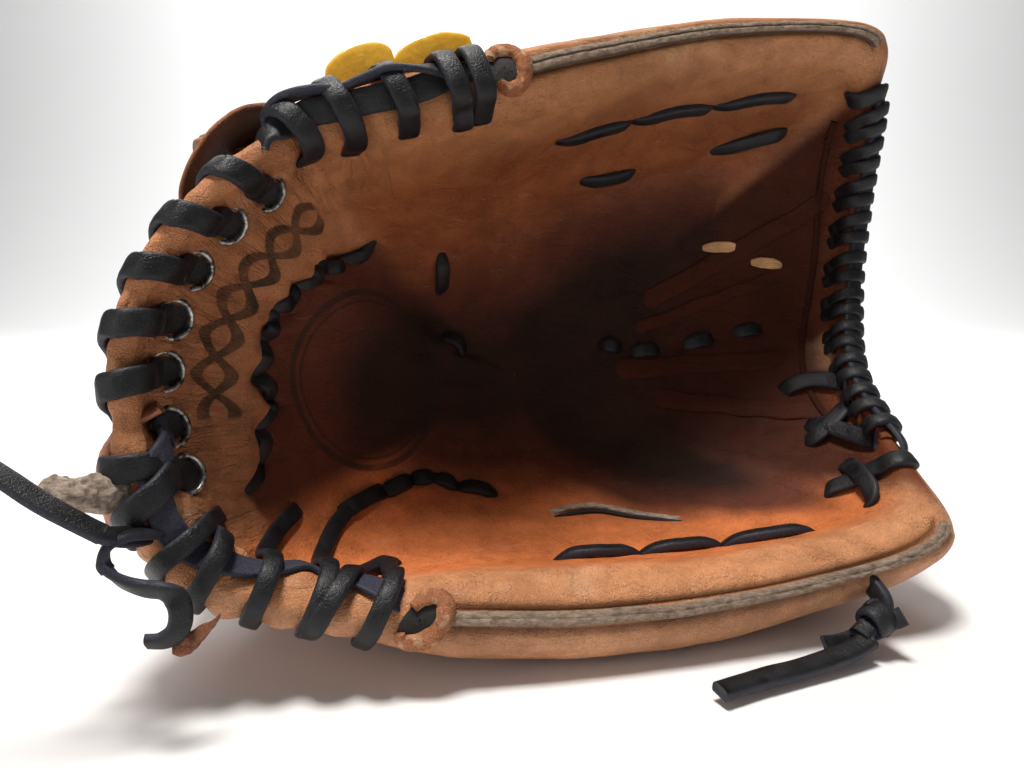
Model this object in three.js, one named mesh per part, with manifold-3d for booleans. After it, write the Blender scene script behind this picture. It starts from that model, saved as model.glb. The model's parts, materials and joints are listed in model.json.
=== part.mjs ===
// A baseball catcher's mitt: a deep padded bowl of leather over felt, folded half shut, with a laced heel,
// a finger side, a thumb side, a web between their tips and a strap over the wrist.
//
// Everything is drawn in the mitt's own frame, in millimetres: +X from heel to tips, +Y into the pocket,
// +Z towards the thumb. The exported group then lies on its finger side, on the plane z = 0.
import * as THREE from "three";
import { mergeVertices } from "three/addons/utils/BufferGeometryUtils.js";
import Module from "manifold-3d";

const wasm = await Module();
wasm.setup();

// ---------------------------------------------------------------- driving dimensions
const LEATHER = 2.6; // shell leather
const LACE = { width: 7.2, thick: 2.4 }; // rawhide lace
const GAP = 0.35; // between pieces that touch
const PAD = 13; // felt behind the palm
const POCKET_FLOOR = { x: 0, y: 60, z: -5 }; // deepest point of the pocket's inner face
const HAND_DEPTH = 44; // inner face of the palm to the outside of the back
const WEB_DEPTH = 9; // the same, through the web
const WEB_FROM = 22; // the web starts here and the palm ends, along X
const HEEL_BACK = -48; // the back of the hand is open from here to the strap
const PRESSED = 10; // the back is pressed flat by this much where the mitt lies
const ROLL = 0.1; // share of a section that is the rolled rim

// The rim's crest as a closed loop: x, y, z, the radius of its roll, and how far the wall under it leans.
const RIM = [
  [-85, -38, 63, 8, 1.15], // heel, from the thumb's corner
  [-108, -44, 46, 7, 1.35],
  [-126, -45, 26, 7, 1.4],
  [-137, -43, 3, 7, 1.4],
  [-138, -38, -22, 7, 1.4],
  [-127, -31, -55, 8, 1.3],
  [-100, -30, -74, 11, 1.1], // finger side, from the heel's corner
  [-62, -33, -84, 12, 0.95],
  [-15, -36, -95, 13, 0.9],
  [46, -38, -101, 13, 0.9],
  [98, -42, -97, 12, 0.95],
  [116, -22, -76, 7, 1.0], // the web's top edge
  [131, 8, -42, 4.5, 1.0],
  [150, 26, -3, 4.5, 1.0],
  [160, 16, 38, 4.5, 1.0],
  [157, -8, 68, 7, 1.0],
  [145, -30, 88, 12, 0.95], // thumb side, back to the heel
  [82, -36, 90, 13, 0.9],
  [22, -39, 82, 12, 0.9],
  [-21, -41, 74, 11, 0.95],
  [-56, -40, 69, 10, 1.05],
];
const CORNER = { heel: 0, finger: 6, web: 10, thumb: 16, end: RIM.length };

// The folds beside the heel: each line runs through the mitt from the heel's corner to the web's edge.
const FINGER_FOLD = { from: [-118, -18, -64], to: [128, 22, -60] };
const THUMB_FOLD = { from: [-98, -20, 58], to: [150, 12, 58] };
const OPEN_CLEARANCE = 12; // degrees cut away behind each fold
const CLOSE_CLEARANCE = 26; // degrees cut away in front of each fold

// How the mitt lies: the mitt frame's X, Y and Z axes in the part's frame, and where its origin goes.
const LIE_X = new THREE.Vector3(0.944, 0.305, 0.124).normalize();
const LIE_Z = new THREE.Vector3(-0.21, 0.267, 0.94);

// ---------------------------------------------------------------- the mitt's surface
const smooth = (x, low, high) => THREE.MathUtils.smoothstep(x, low, high);

// One point of a uniform Catmull-Rom spline through rows of numbers, closed on itself.
function splineRow(rows, at) {
  const n = rows.length;
  const i = Math.floor(at);
  const f = at - i;
  const [p, q, r, s] = [-1, 0, 1, 2].map((k) => rows[(((i + k) % n) + n) % n]);
  return q.map(
    (_, k) =>
      0.5 *
      (2 * q[k] +
        (r[k] - p[k]) * f +
        (2 * p[k] - 5 * q[k] + 4 * r[k] - s[k]) * f * f +
        (3 * q[k] - p[k] - 3 * r[k] + s[k]) * f * f * f),
  );
}

// The part's frame from the mitt's, before the part is moved onto its plane.
const LIE = (() => {
  LIE_Z.addScaledVector(LIE_X, -LIE_Z.dot(LIE_X)).normalize();
  return new THREE.Matrix4().makeBasis(LIE_X, new THREE.Vector3().crossVectors(LIE_Z, LIE_X), LIE_Z);
})();
const UNLIE = LIE.clone().invert();

const depthAt = (x) => HAND_DEPTH + (WEB_DEPTH - HAND_DEPTH) * smooth(x, 25, 100);

// A point on the leather. at runs along the rim; side runs across a section, from -1 at the pocket's floor,
// through 0 on the rim's crest, to 1 at the middle of the back.
function freePoint(at, side) {
  const [x, y, z, roll, lean] = splineRow(RIM, at);
  const along = new THREE.Vector2(x - POCKET_FLOOR.x, z - POCKET_FLOOR.z);
  const reach = along.length();
  along.normalize();
  const r = 1 - Math.abs(side);
  const back = side > 0;
  const shoulder = y + roll;
  let out;
  let deep;
  if (r >= 1 - ROLL) {
    const turn = (((r - (1 - ROLL)) / ROLL) * Math.PI) / 2;
    out = reach + (back ? roll * Math.cos(turn) : -roll * Math.cos(turn));
    deep = shoulder - roll * Math.sin(turn);
  } else {
    const turn = ((r / (1 - ROLL)) * Math.PI) / 2;
    const bow = back ? 0.8 : lean;
    out = (reach + (back ? roll : -roll)) * Math.sin(turn) ** bow;
    const floor = POCKET_FLOOR.y + (back ? depthAt(POCKET_FLOOR.x + along.x * out) : 0);
    deep = shoulder + (floor - shoulder) * Math.cos(turn) ** bow;
  }
  return new THREE.Vector3(POCKET_FLOOR.x + along.x * out, deep, POCKET_FLOOR.z + along.y * out);
}

// The same, with the back pressed flat where the mitt lies on it.
function skinPoint(at, side) {
  const p = freePoint(at, side);
  if (side <= 0) return p;
  p.applyMatrix4(LIE);
  p.z = Math.max(p.z, LYING_PLANE);
  return p.applyMatrix4(UNLIE);
}

// A point at a height over the leather, out of the mitt.
function overSkin(at, side, height) {
  const step = 0.004;
  const across = skinPoint(at, side + step).sub(skinPoint(at, side - step));
  const alongRim = skinPoint(at + 0.02, side).sub(skinPoint(at - 0.02, side));
  const normal = across.cross(alongRim).normalize();
  return skinPoint(at, side).addScaledVector(normal, height);
}

// The height of the plane the mitt lies on, in the lying frame.
const LYING_PLANE = (() => {
  let low = 0;
  for (let at = 6; at < 10; at += 0.25)
    for (let side = 0.05; side < 1; side += 0.05)
      low = Math.min(low, freePoint(at, side).applyMatrix4(LIE).z);
  return low + PRESSED;
})();

// The side value at a distance from the crest, measured over the leather: negative is the pocket's side.
function sideAt(at, distance) {
  const step = 0.002 * Math.sign(distance);
  let side = 0;
  let travelled = 0;
  let last = skinPoint(at, 0);
  while (travelled < Math.abs(distance)) {
    side += step;
    const next = skinPoint(at, side);
    travelled += next.distanceTo(last);
    last = next;
  }
  return side;
}

// Square coordinates to the rim: a runs from heel to web, b from finger side to thumb side.
function rimAt(a, b) {
  const { heel, finger, web, thumb, end } = CORNER;
  if (Math.abs(a) >= Math.abs(b)) {
    const q = a === 0 ? 0 : b / Math.abs(a);
    return a < 0
      ? THREE.MathUtils.mapLinear(q, 1, -1, heel, finger)
      : THREE.MathUtils.mapLinear(q, -1, 1, web, thumb);
  }
  const q = a / Math.abs(b);
  return b < 0
    ? THREE.MathUtils.mapLinear(q, -1, 1, finger, web)
    : THREE.MathUtils.mapLinear(q, 1, -1, thumb, end);
}

// How far each layer lies through the mitt's wall, as shares of its thickness from the pocket's side.
function shares(a, b) {
  const r = Math.max(Math.abs(a), Math.abs(b), 1e-4);
  const at = rimAt(a, b);
  const inner = skinPoint(at, r - 1);
  const outer = skinPoint(at, 1 - r);
  const thick = inner.distanceTo(outer);
  const skin = Math.min(LEATHER / thick, 0.38);
  const under = Math.min((LEATHER + GAP) / thick, 0.43);
  const full = PAD + LEATHER + 80 * smooth(r, 0.72, 0.93);
  const felt = Math.max(Math.min(full / thick, 1 - under), 0.55);
  return { inner, outer, skin, under, felt, thick };
}

// ---------------------------------------------------------------- solids
// A closed slab over a grid of columns and rows: place(i, j, 0) is one face and place(i, j, 1) the other.
function slab(columns, rows, place) {
  const positions = [];
  const index = [];
  const n = columns + 1;
  const m = rows + 1;
  for (let k = 0; k < 2; k++)
    for (let j = 0; j < m; j++) for (let i = 0; i < n; i++) positions.push(...place(i, j, k).toArray());
  const at = (i, j, k) => k * n * m + j * n + i;
  const wall = (p, q, r, s) => index.push(p, q, r, r, q, s);
  for (let j = 0; j < rows; j++)
    for (let i = 0; i < columns; i++) {
      wall(at(i, j, 0), at(i + 1, j, 0), at(i, j + 1, 0), at(i + 1, j + 1, 0));
      index.push(at(i, j, 1), at(i, j + 1, 1), at(i + 1, j, 1));
      index.push(at(i, j + 1, 1), at(i + 1, j + 1, 1), at(i + 1, j, 1));
    }
  for (let i = 0; i < columns; i++) {
    wall(at(i, 0, 1), at(i + 1, 0, 1), at(i, 0, 0), at(i + 1, 0, 0));
    wall(at(i, rows, 0), at(i + 1, rows, 0), at(i, rows, 1), at(i + 1, rows, 1));
  }
  for (let j = 0; j < rows; j++) {
    wall(at(0, j, 0), at(0, j + 1, 0), at(0, j, 1), at(0, j + 1, 1));
    wall(at(columns, j, 1), at(columns, j + 1, 1), at(columns, j, 0), at(columns, j + 1, 0));
  }
  const geometry = new THREE.BufferGeometry();
  geometry.setAttribute("position", new THREE.Float32BufferAttribute(positions, 3)).setIndex(index);
  return outward(geometry);
}

// The same geometry with its faces pointing out.
function outward(geometry) {
  const at = geometry.attributes.position;
  const index = geometry.index.array;
  const p = [0, 1, 2].map(() => new THREE.Vector3());
  let volume = 0;
  for (let i = 0; i < index.length; i += 3) {
    p.forEach((v, k) => v.fromBufferAttribute(at, index[i + k]));
    volume += p[0].dot(p[1].cross(p[2]));
  }
  if (volume < 0)
    for (let i = 0; i < index.length; i += 3) [index[i], index[i + 1]] = [index[i + 1], index[i]];
  return geometry;
}

function toSolid(geometry) {
  const bare = new THREE.BufferGeometry().setAttribute("position", geometry.attributes.position);
  if (geometry.index) bare.setIndex(geometry.index);
  const merged = mergeVertices(bare, 1e-4);
  return new wasm.Manifold(
    new wasm.Mesh({
      numProp: 3,
      vertProperties: new Float32Array(merged.attributes.position.array),
      triVerts: new Uint32Array(merged.index.array),
    }),
  );
}

// A solid's largest body as a geometry: what a cut leaves over beside it is dropped.
function toGeometry(solid) {
  const bodies = solid.decompose().sort((m, n) => n.volume() - m.volume());
  const mesh = bodies[0].simplify(0.02).getMesh();
  return new THREE.BufferGeometry()
    .setAttribute("position", new THREE.BufferAttribute(new Float32Array(mesh.vertProperties), 3))
    .setIndex(new THREE.BufferAttribute(new Uint32Array(mesh.triVerts), 1));
}

const boxBetween = (low, high) =>
  toSolid(
    new THREE.BoxGeometry(...high.map((h, k) => h - low[k])).translate(
      ...high.map((h, k) => (h + low[k]) / 2),
    ),
  );

// ---------------------------------------------------------------- folds and the zones they make
const FAR = 400;

// A prism along a fold. Its outline is in (into the pocket, away from the middle) about the fold's line.
function foldPrism(fold, awaySign, outline) {
  const from = new THREE.Vector3(...fold.from);
  const axis = new THREE.Vector3(...fold.to).sub(from).normalize();
  const away = new THREE.Vector3(0, 0, awaySign);
  away.addScaledVector(axis, -away.dot(axis)).normalize();
  const deep = new THREE.Vector3().crossVectors(away, axis).multiplyScalar(awaySign > 0 ? 1 : -1);
  if (deep.y < 0) deep.negate();
  const shape = new THREE.Shape(outline.map(([p, q]) => new THREE.Vector2(p, q)));
  const prism = new THREE.ExtrudeGeometry(shape, { depth: 2 * FAR, bevelEnabled: false });
  prism.translate(0, 0, -FAR);
  const right = new THREE.Vector3().crossVectors(deep, away);
  const basis = new THREE.Matrix4().makeBasis(deep, away, right).setPosition(from);
  return toSolid(prism.applyMatrix4(basis));
}

const turnOf = (degrees) => THREE.MathUtils.degToRad(degrees);
const wallOutline = [
  [0, 0],
  [FAR * Math.cos(turnOf(OPEN_CLEARANCE)), FAR * Math.sin(turnOf(OPEN_CLEARANCE))],
  [FAR, FAR],
  [-FAR, FAR],
  [-FAR * Math.cos(turnOf(CLOSE_CLEARANCE)), FAR * Math.sin(turnOf(CLOSE_CLEARANCE))],
];
const middleOutline = [
  [-FAR, -FAR],
  [FAR, -FAR],
  [FAR, 0],
  [-FAR, 0],
];
const ZONE = {
  finger: foldPrism(FINGER_FOLD, -1, wallOutline),
  thumb: foldPrism(THUMB_FOLD, 1, wallOutline),
  middle: foldPrism(FINGER_FOLD, -1, middleOutline).intersect(foldPrism(THUMB_FOLD, 1, middleOutline)),
};

// ---------------------------------------------------------------- layers of the mitt
// Square coordinates of the layers' grid. Shells reach the last one, the felt stops one short of it.
const LEVELS = [0, 0.18, 0.35, 0.5, 0.62, 0.72, 0.8, 0.87, 0.92, 0.955, 0.985];

// A layer of the whole mitt between two shares of its wall.
function layer(levels, top, bottom) {
  const line = [...levels.slice(1).reverse().map((x) => -x), ...levels];
  const n = line.length - 1;
  return toSolid(
    slab(n, n, (i, j, k) => {
      const wall = shares(line[i], line[j]);
      return wall.inner.clone().lerp(wall.outer, k === 0 ? top(wall) : bottom(wall));
    }),
  );
}

const palmShell = layer(LEVELS, () => 0, (wall) => wall.skin);
const backShell = layer(LEVELS, (wall) => 1 - wall.skin, () => 1);
const felt = layer(LEVELS.slice(0, -1), (wall) => wall.under, (wall) => wall.felt);

// ---------------------------------------------------------------- laces
// A flat strip along frames { p, up, w, t }: w across and t through, with p at its middle.
function ribbon(frames) {
  const across = frames.map((frame, i) => {
    const before = frames[Math.max(i - 1, 0)].p;
    const after = frames[Math.min(i + 1, frames.length - 1)].p;
    return after.clone().sub(before).cross(frame.up).normalize();
  });
  return slab(frames.length - 1, 1, (i, j, k) => {
    const { p, up, w, t } = frames[i];
    return p
      .clone()
      .addScaledVector(across[i], (j - 0.5) * w)
      .addScaledVector(up, (k - 0.5) * t);
  });
}

function normalAt(at, side) {
  return overSkin(at, side, 1).sub(skinPoint(at, side)).normalize();
}

// A lace lying on the leather through [at, distance from the crest] stops; lift is its underside's height.
function laceOver(stops, { width = LACE.width, thick = LACE.thick, lift = () => GAP, steps = 12 } = {}) {
  const path = new THREE.SplineCurve(stops.map(([at, distance]) => new THREE.Vector2(at * 30, distance)));
  const frames = path.getPoints(steps).map((q) => {
    const at = q.x / 30;
    const side = Math.abs(q.y) < 0.2 ? 0 : sideAt(at, q.y);
    const up = normalAt(at, side);
    const p = overSkin(at, side, lift(q.y) + thick / 2);
    return { p, up, w: width, t: thick };
  });
  return ribbon(frames);
}

// A lace loop over the rim, from the pocket's side to the back.
const overRim = (at, inside, outside, lift, slant = 0, width = LACE.width) =>
  laceOver(
    [
      [at - slant, -inside],
      [at - slant / 2, -inside / 2],
      [at, 0],
      [at + slant / 2, outside / 2],
      [at + slant, outside],
    ],
    { lift, steps: 14, width },
  );

// Pieces that cap the rim: from one rim position to another, a distance to each side of the crest.
function rimCap(from, to, half, low, high, steps) {
  const rows = 6;
  return slab(steps, rows, (i, j, k) => {
    const at = THREE.MathUtils.lerp(from, to, i / steps);
    const distance = THREE.MathUtils.lerp(-half, half, j / rows);
    const side = Math.abs(distance) < 0.01 ? 0 : sideAt(at, distance);
    return overSkin(at, side, k === 0 ? low : high);
  });
}

// The welt: a square bead of raw leather standing on the crest between the two shells.
const WELT = { wide: 3, high: 2.6, gap: 0.1 };
function welt(from, to, steps) {
  return slab(steps, 1, (i, j, k) => {
    const at = THREE.MathUtils.lerp(from, to, i / steps);
    const up = normalAt(at, 0);
    const along = skinPoint(at + 0.02, 0).sub(skinPoint(at - 0.02, 0));
    const across = along.cross(up).normalize();
    return skinPoint(at, 0)
      .addScaledVector(up, WELT.gap + k * WELT.high)
      .addScaledVector(across, (j - 0.5) * WELT.wide);
  });
}

// ---------------------------------------------------------------- heel eyelets and their laces
const EYELET = { outer: 5.5, hole: 3.1, barrel: 3.8, cut: 4.15 };
// Each eyelet's place: along the rim, inwards from the crest, and how far its flange stands off the leather.
const EYELETS = [
  [0.54, 20, 0],
  [1.16, 19.5, 0],
  [1.84, 20, 0],
  [2.48, 21, 0.2],
  [3.12, 22, 0.2],
  [3.78, 21.5, 0.6],
  [4.3, 21.5, 1.1],
];

function surfaceFrame(at, distance) {
  const side = sideAt(at, distance);
  const up = normalAt(at, side);
  const toCrest = overSkin(at, side + 0.01, 0).sub(overSkin(at, side - 0.01, 0));
  toCrest.addScaledVector(up, -toCrest.dot(up)).normalize();
  return { origin: skinPoint(at, side), up, toCrest };
}

function toSurface(geometry, { origin, up, toCrest }) {
  const basis = new THREE.Matrix4().makeBasis(toCrest.clone().cross(up), toCrest, up);
  return geometry.applyMatrix4(basis.setPosition(origin));
}

// A ring turned about Z from a closed outline of [radius, height].
function turned(outline, segments = 16) {
  const loop = [...outline, outline[0]].map(([r, h]) => new THREE.Vector2(r, h));
  const ring = new THREE.LatheGeometry(loop, segments);
  ring.deleteAttribute("normal");
  ring.deleteAttribute("uv");
  return outward(mergeVertices(ring.rotateX(Math.PI / 2), 1e-4));
}

const eyeletRing = () => {
  const { outer, hole, barrel } = EYELET;
  return turned([
    [hole, -2],
    [barrel, -2],
    [barrel, 1.1],
    [outer, 1.05],
    [outer - 0.4, 1.95],
    [hole, 2.1],
  ]);
};

const eyeletHole = (i) => {
  const cutter = new THREE.CylinderGeometry(EYELET.cut, EYELET.cut, 12, 16).rotateX(Math.PI / 2);
  return toSolid(toSurface(cutter, surfaceFrame(EYELETS[i][0], -EYELETS[i][1])));
};

// Height of a lace's underside where it climbs over the heel's binding.
const BINDING = { half: 5, thick: 1.4, low: 0.7 };
const overBinding = (distance) =>
  GAP + (BINDING.thick + GAP) * (1 - smooth(Math.abs(distance), BINDING.half + 1, BINDING.half + 3));

function heelLace(i) {
  const [at, inset, raised] = EYELETS[i];
  const frame = surfaceFrame(at, -inset);
  const from = (along, height) =>
    frame.origin
      .clone()
      .addScaledVector(frame.toCrest, along)
      .addScaledVector(frame.up, height + raised);
  const lean = frame.up.clone().sub(frame.toCrest).normalize();
  const frames = [
    { p: from(-0.3, -1.6), up: frame.toCrest.clone().negate(), w: 3.8, t: 1.6 },
    { p: from(-0.2, 3.2), up: lean, w: 4, t: 1.8 },
    { p: from(3, 4), up: frame.up, w: 6.8, t: 2.2 },
  ];
  for (const distance of [6.5 - inset, 9 - inset, -8, -6, -4, -2, 0, 2, 4, 6, 8, 11, 15]) {
    const side = Math.abs(distance) < 0.1 ? 0 : sideAt(at, distance);
    const shy = (0.7 + 0.9 * raised) * smooth(-distance, 6, 10);
    const lift = overBinding(distance) + shy + (distance === 6.5 - inset ? 0.5 : 0);
    const p = overSkin(at, side, lift + LACE.thick / 2);
    frames.push({ p, up: normalAt(at, side), w: LACE.width, t: LACE.thick });
  }
  return ribbon(frames);
}

// ---------------------------------------------------------------- the web's edge lace
// A lace that climbs over the web's top edge and back, tooth after tooth.
function webEdgeLace(from, to, teeth) {
  const stops = [];
  const half = 7;
  for (let i = 0; i < teeth; i++) {
    const at = THREE.MathUtils.lerp(from, to, i / (teeth - 1));
    const sign = i % 2 ? 1 : -1;
    stops.push([at, sign * half], [at, 0], [at, -sign * half]);
  }
  const lift = () => 3.4;
  return laceOver(stops, { width: 3.6, thick: 1.8, lift, steps: teeth * 9 });
}

// ---------------------------------------------------------------- loose laces, knot, strap and badge
const at3 = (x, y, z) => new THREE.Vector3(x, y, z);
const fromLying = (x, y, z) => at3(x, y, z + LYING_PLANE).applyMatrix4(UNLIE);

// A cord through points, as a plain eight-sided tube.
function tube(points, radius, steps) {
  const ring = Array.from({ length: 8 }, (_, i) => (i * Math.PI) / 4).map(
    (turn) => new THREE.Vector2(radius * Math.cos(turn), radius * Math.sin(turn)),
  );
  const extrudePath = new THREE.CatmullRomCurve3(points, false, "centripetal");
  return new THREE.ExtrudeGeometry(new THREE.Shape(ring), { steps, extrudePath, bevelEnabled: false });
}

// The strap over the wrist: a band whose width runs along X.
const STRAP = { width: 30, thick: 3 };
const STRAP_PATH = [
  [-95, -4, 84],
  [-96, 26, 91],
  [-96, 58, 86],
  [-94, 88, 60],
  [-92, 99, 12],
  [-92, 96, -28],
  [-94, 80, -53],
  [-97, 58, -58],
];
function strap() {
  const curve = new THREE.CatmullRomCurve3(STRAP_PATH.map((p) => at3(...p)));
  const steps = 22;
  return slab(steps, 1, (i, j, k) => {
    const p = curve.getPoint(i / steps);
    const along = curve.getTangent(i / steps);
    const out = at3(1, 0, 0).cross(along).normalize().negate();
    p.x += (j - 0.5) * STRAP.width;
    return p.addScaledVector(out, k * STRAP.thick);
  });
}

// Loose ends, as points in the lying frame measured from the plane the mitt lies on.
const LONG_TAIL = [
  [-113, -98, 56],
  [-118, -100, 60],
  [-125, -102, 65.5],
  [-133, -103, 72],
  [-143, -104, 79],
  [-152, -104.5, 84],
];
const CORNER_LOOP = [
  [-113.2, -98, 49],
  [-111.9, -98, 46.9],
  [-108.7, -97.5, 44],
  [-104.5, -97, 42.2],
  [-99.9, -97, 41.5],
  [-96.6, -97, 39.2],
  [-95.9, -97, 35],
  [-96.9, -97.5, 31.4],
  [-100, -98, 29.3],
  [-103.9, -98.5, 29.3],
];
const KNOT = [101, -49, 9];
const KNOT_TAIL = [
  [94, -54, 7.5],
  [86, -58, 5.5],
  [70, -65, 4.2],
  [56, -71, 4.2],
  [42, -78, 4.2],
];
const cordPath = (rows) => rows.map((row) => fromLying(...row));
const CORD_RADIUS = 3.3;

// A stub of rawhide and a leather tab that stick out behind the heel: flat bars along lying points.
function bar(rows, width, thick, facing) {
  const curve = new THREE.CatmullRomCurve3(cordPath(rows));
  const up = at3(...facing).transformDirection(UNLIE);
  const frames = curve.getPoints(6).map((p) => ({ p, up, w: width, t: thick }));
  return ribbon(frames);
}

// A rolled end of leather across the rim.
function rolledEnd(at, radius, length) {
  const up = normalAt(at, 0);
  const along = skinPoint(at + 0.02, 0).sub(skinPoint(at - 0.02, 0)).normalize();
  const across = along.clone().cross(up).normalize();
  const roll = new THREE.CylinderGeometry(radius, radius, length, 12);
  roll.deleteAttribute("normal");
  roll.deleteAttribute("uv");
  const basis = new THREE.Matrix4().makeBasis(up, across, up.clone().cross(across));
  basis.setPosition(overSkin(at, 0, radius + GAP));
  return outward(mergeVertices(roll.applyMatrix4(basis), 1e-4));
}

// The badge: a plate with a wavy top that stands on the thumb side's back, just behind the rim.
const BADGE = { from: 18.65, to: 20.0, back: 17, high: 12, thick: 2.6 };
function badge() {
  const steps = 20;
  const up = at3(0, 0, 1).transformDirection(UNLIE);
  return slab(steps, 1, (i, j, k) => {
    const at = THREE.MathUtils.lerp(BADGE.from, BADGE.to, i / steps);
    const side = sideAt(at, BADGE.back);
    const hump = Math.abs(Math.sin((2 * Math.PI * i) / steps)) ** 0.6;
    const across = overSkin(at, side + 0.02, 0).sub(skinPoint(at, side));
    across.addScaledVector(up, -across.dot(up)).normalize();
    return overSkin(at, side, 1.6)
      .addScaledVector(up, j * (3 + BADGE.high * (0.35 + 0.65 * hump)))
      .addScaledVector(across, (k - 0.5) * BADGE.thick);
  });
}

// ---------------------------------------------------------------- the assembly
const TAN = { color: 0xb06a3a, roughness: 0.5, metalness: 0 };
const BROWN = { color: 0x7a4526, roughness: 0.5, metalness: 0 };
const FELT = { color: 0xd8cdb8, roughness: 0.9, metalness: 0 };
const BLACK = { color: 0x17171a, roughness: 0.4, metalness: 0 };
const RAW = { color: 0x8a7a6c, roughness: 0.9, metalness: 0 };
const GOLD = { color: 0xe0a21a, roughness: 0.3, metalness: 0 };
const NICKEL = { color: 0xc8c8c4, roughness: 0.3, metalness: 1 };

const mitt = new THREE.Group();
function add(name, geometry, look) {
  const mesh = new THREE.Mesh(geometry, new THREE.MeshStandardMaterial(look));
  mesh.name = name;
  mitt.add(mesh);
}

function addShells() {
  const beforeWeb = boxBetween([-FAR, -FAR, -FAR], [WEB_FROM - GAP / 2, FAR, FAR]);
  const pastWeb = boxBetween([WEB_FROM + GAP / 2, -FAR, -FAR], [FAR, FAR, FAR]);
  const wristHole = boxBetween([-FAR, 28, -62], [HEEL_BACK, FAR, 56]);
  const palm = palmShell.intersect(ZONE.middle);
  const back = backShell.intersect(ZONE.middle);
  let palmFront = palm.intersect(beforeWeb);
  let palmFelt = felt.intersect(ZONE.middle).intersect(beforeWeb);
  for (let i = 0; i < EYELETS.length; i++) {
    palmFront = palmFront.subtract(eyeletHole(i));
    palmFelt = palmFelt.subtract(eyeletHole(i));
  }
  add("palm_leather", toGeometry(palmFront), BROWN);
  add("palm_pad", toGeometry(palmFelt), FELT);
  add("back_leather", toGeometry(back.intersect(beforeWeb).subtract(wristHole)), TAN);
  add("web_panel", toGeometry(palm.intersect(pastWeb)), BROWN);
  add("web_back_panel", toGeometry(back.intersect(pastWeb)), BROWN);
  for (const side of ["finger", "thumb"]) {
    add(`${side}_palm_leather`, toGeometry(palmShell.intersect(ZONE[side])), TAN);
    add(`${side}_pad`, toGeometry(felt.intersect(ZONE[side])), FELT);
    add(`${side}_back_leather`, toGeometry(backShell.intersect(ZONE[side])), TAN);
  }
}

function addHeel() {
  add("heel_binding", rimCap(0.15, 5.05, BINDING.half, GAP, GAP + BINDING.thick, 28), TAN);
  EYELETS.forEach(([at, inset, raised], i) => {
    const ring = eyeletRing().translate(0, 0, raised);
    add(`heel_eyelet_${i + 1}`, toSurface(ring, surfaceFrame(at, -inset)), NICKEL);
    add(`heel_lace_${i + 1}`, heelLace(i), BLACK);
  });
}

// The rim's laces: one that runs along the crest, and loops that bind it down.
const LOOP_REACH = 13;
const overEdgeLace = (distance) =>
  GAP + (LACE.thick + GAP + 1.1) * (1 - smooth(Math.abs(distance), 4.8, 9));
const overCorner = (distance) => overEdgeLace(distance) + 2.4 * smooth(-distance, 3, 12);
function addRimLaces() {
  const thumbEdge = [18.95, 19.3, 19.8, 20.25].map((at) => [at, 0]);
  const fingerEdge = [5.95, 6.2, 6.5, 6.72].map((at) => [at, 0]);
  add("thumb_edge_lace", laceOver(thumbEdge, { steps: 16 }), BLACK);
  add("finger_edge_lace", laceOver(fingerEdge, { steps: 12 }), BLACK);
  [18.98, 19.26, 19.54, 19.82, 20.1].forEach((at, i) =>
    add(`thumb_loop_${i + 1}`, overRim(at, LOOP_REACH, LOOP_REACH, overEdgeLace, 0.03), BLACK),
  );
  [6.04, 6.3, 6.56].forEach((at, i) =>
    add(`finger_loop_${i + 1}`, overRim(at, LOOP_REACH, LOOP_REACH, overEdgeLace, -0.03), BLACK),
  );
  [4.74, 5.06].forEach((at, i) =>
    add(`corner_loop_${i + 1}`, overRim(at, 20, LOOP_REACH, overCorner), BLACK),
  );
  add("finger_tip_lace", overRim(10.2, 12, 12, () => 1.2, 0.03), BLACK);
  add("thumb_tip_lace", overRim(15.3, 12, 12, () => 1.2, 0.03), BLACK);
}

// Laces that run over the leather inside the mitt: how far each stands off it, and its stops.
const INNER_LACE = { width: 4.2, thick: 1.8, steps: 18 };
const INNER_LACES = {
  thumb_rim_lace: [1.3, [[16.12, -38], [16.78, -41], [17.44, -41], [18.04, -43]]],
  finger_rim_lace: [1.3, [[7.92, -48], [8.4, -47], [8.9, -46], [9.3, -44], [9.68, -40]]],
  palm_row_lace: [3, [[5.75, -90], [6.3, -97], [6.9, -95], [7.5, -92]]],
  heel_scallop_lace: [1.3, [[0.3, -65], [0.9, -60], [1.7, -57], [2.5, -58], [3.6, -62], [4.5, -46]]],
  thumb_join_lace: [1.9, [[15.8, -52], [16.1, -60], [16.4, -67]]],
  pocket_lace: [1.3, [[12.95, -42], [12.95, -65], [12.95, -88]]],
};
function addInnerLaces() {
  for (const [name, [height, stops]] of Object.entries(INNER_LACES))
    add(name, laceOver(stops, { ...INNER_LACE, lift: () => height }), BLACK);
}

function addTrim() {
  add("finger_welt", welt(7.0, 9.95, 34), RAW);
  add("thumb_welt", welt(16.05, 18.62, 34), RAW);
  add("finger_rolled_end", rolledEnd(6.86, 4.2, 15), TAN);
  add("thumb_rolled_end", rolledEnd(18.77, 4.2, 15), TAN);
  add("web_binding", rimCap(11.55, 14.35, 5, 1.6, 3, 26), BROWN);
  add("web_edge_lace", webEdgeLace(11.7, 14.2, 10), BLACK);
  add("strap", strap(), TAN);
  add("badge", badge(), GOLD);
}

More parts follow.
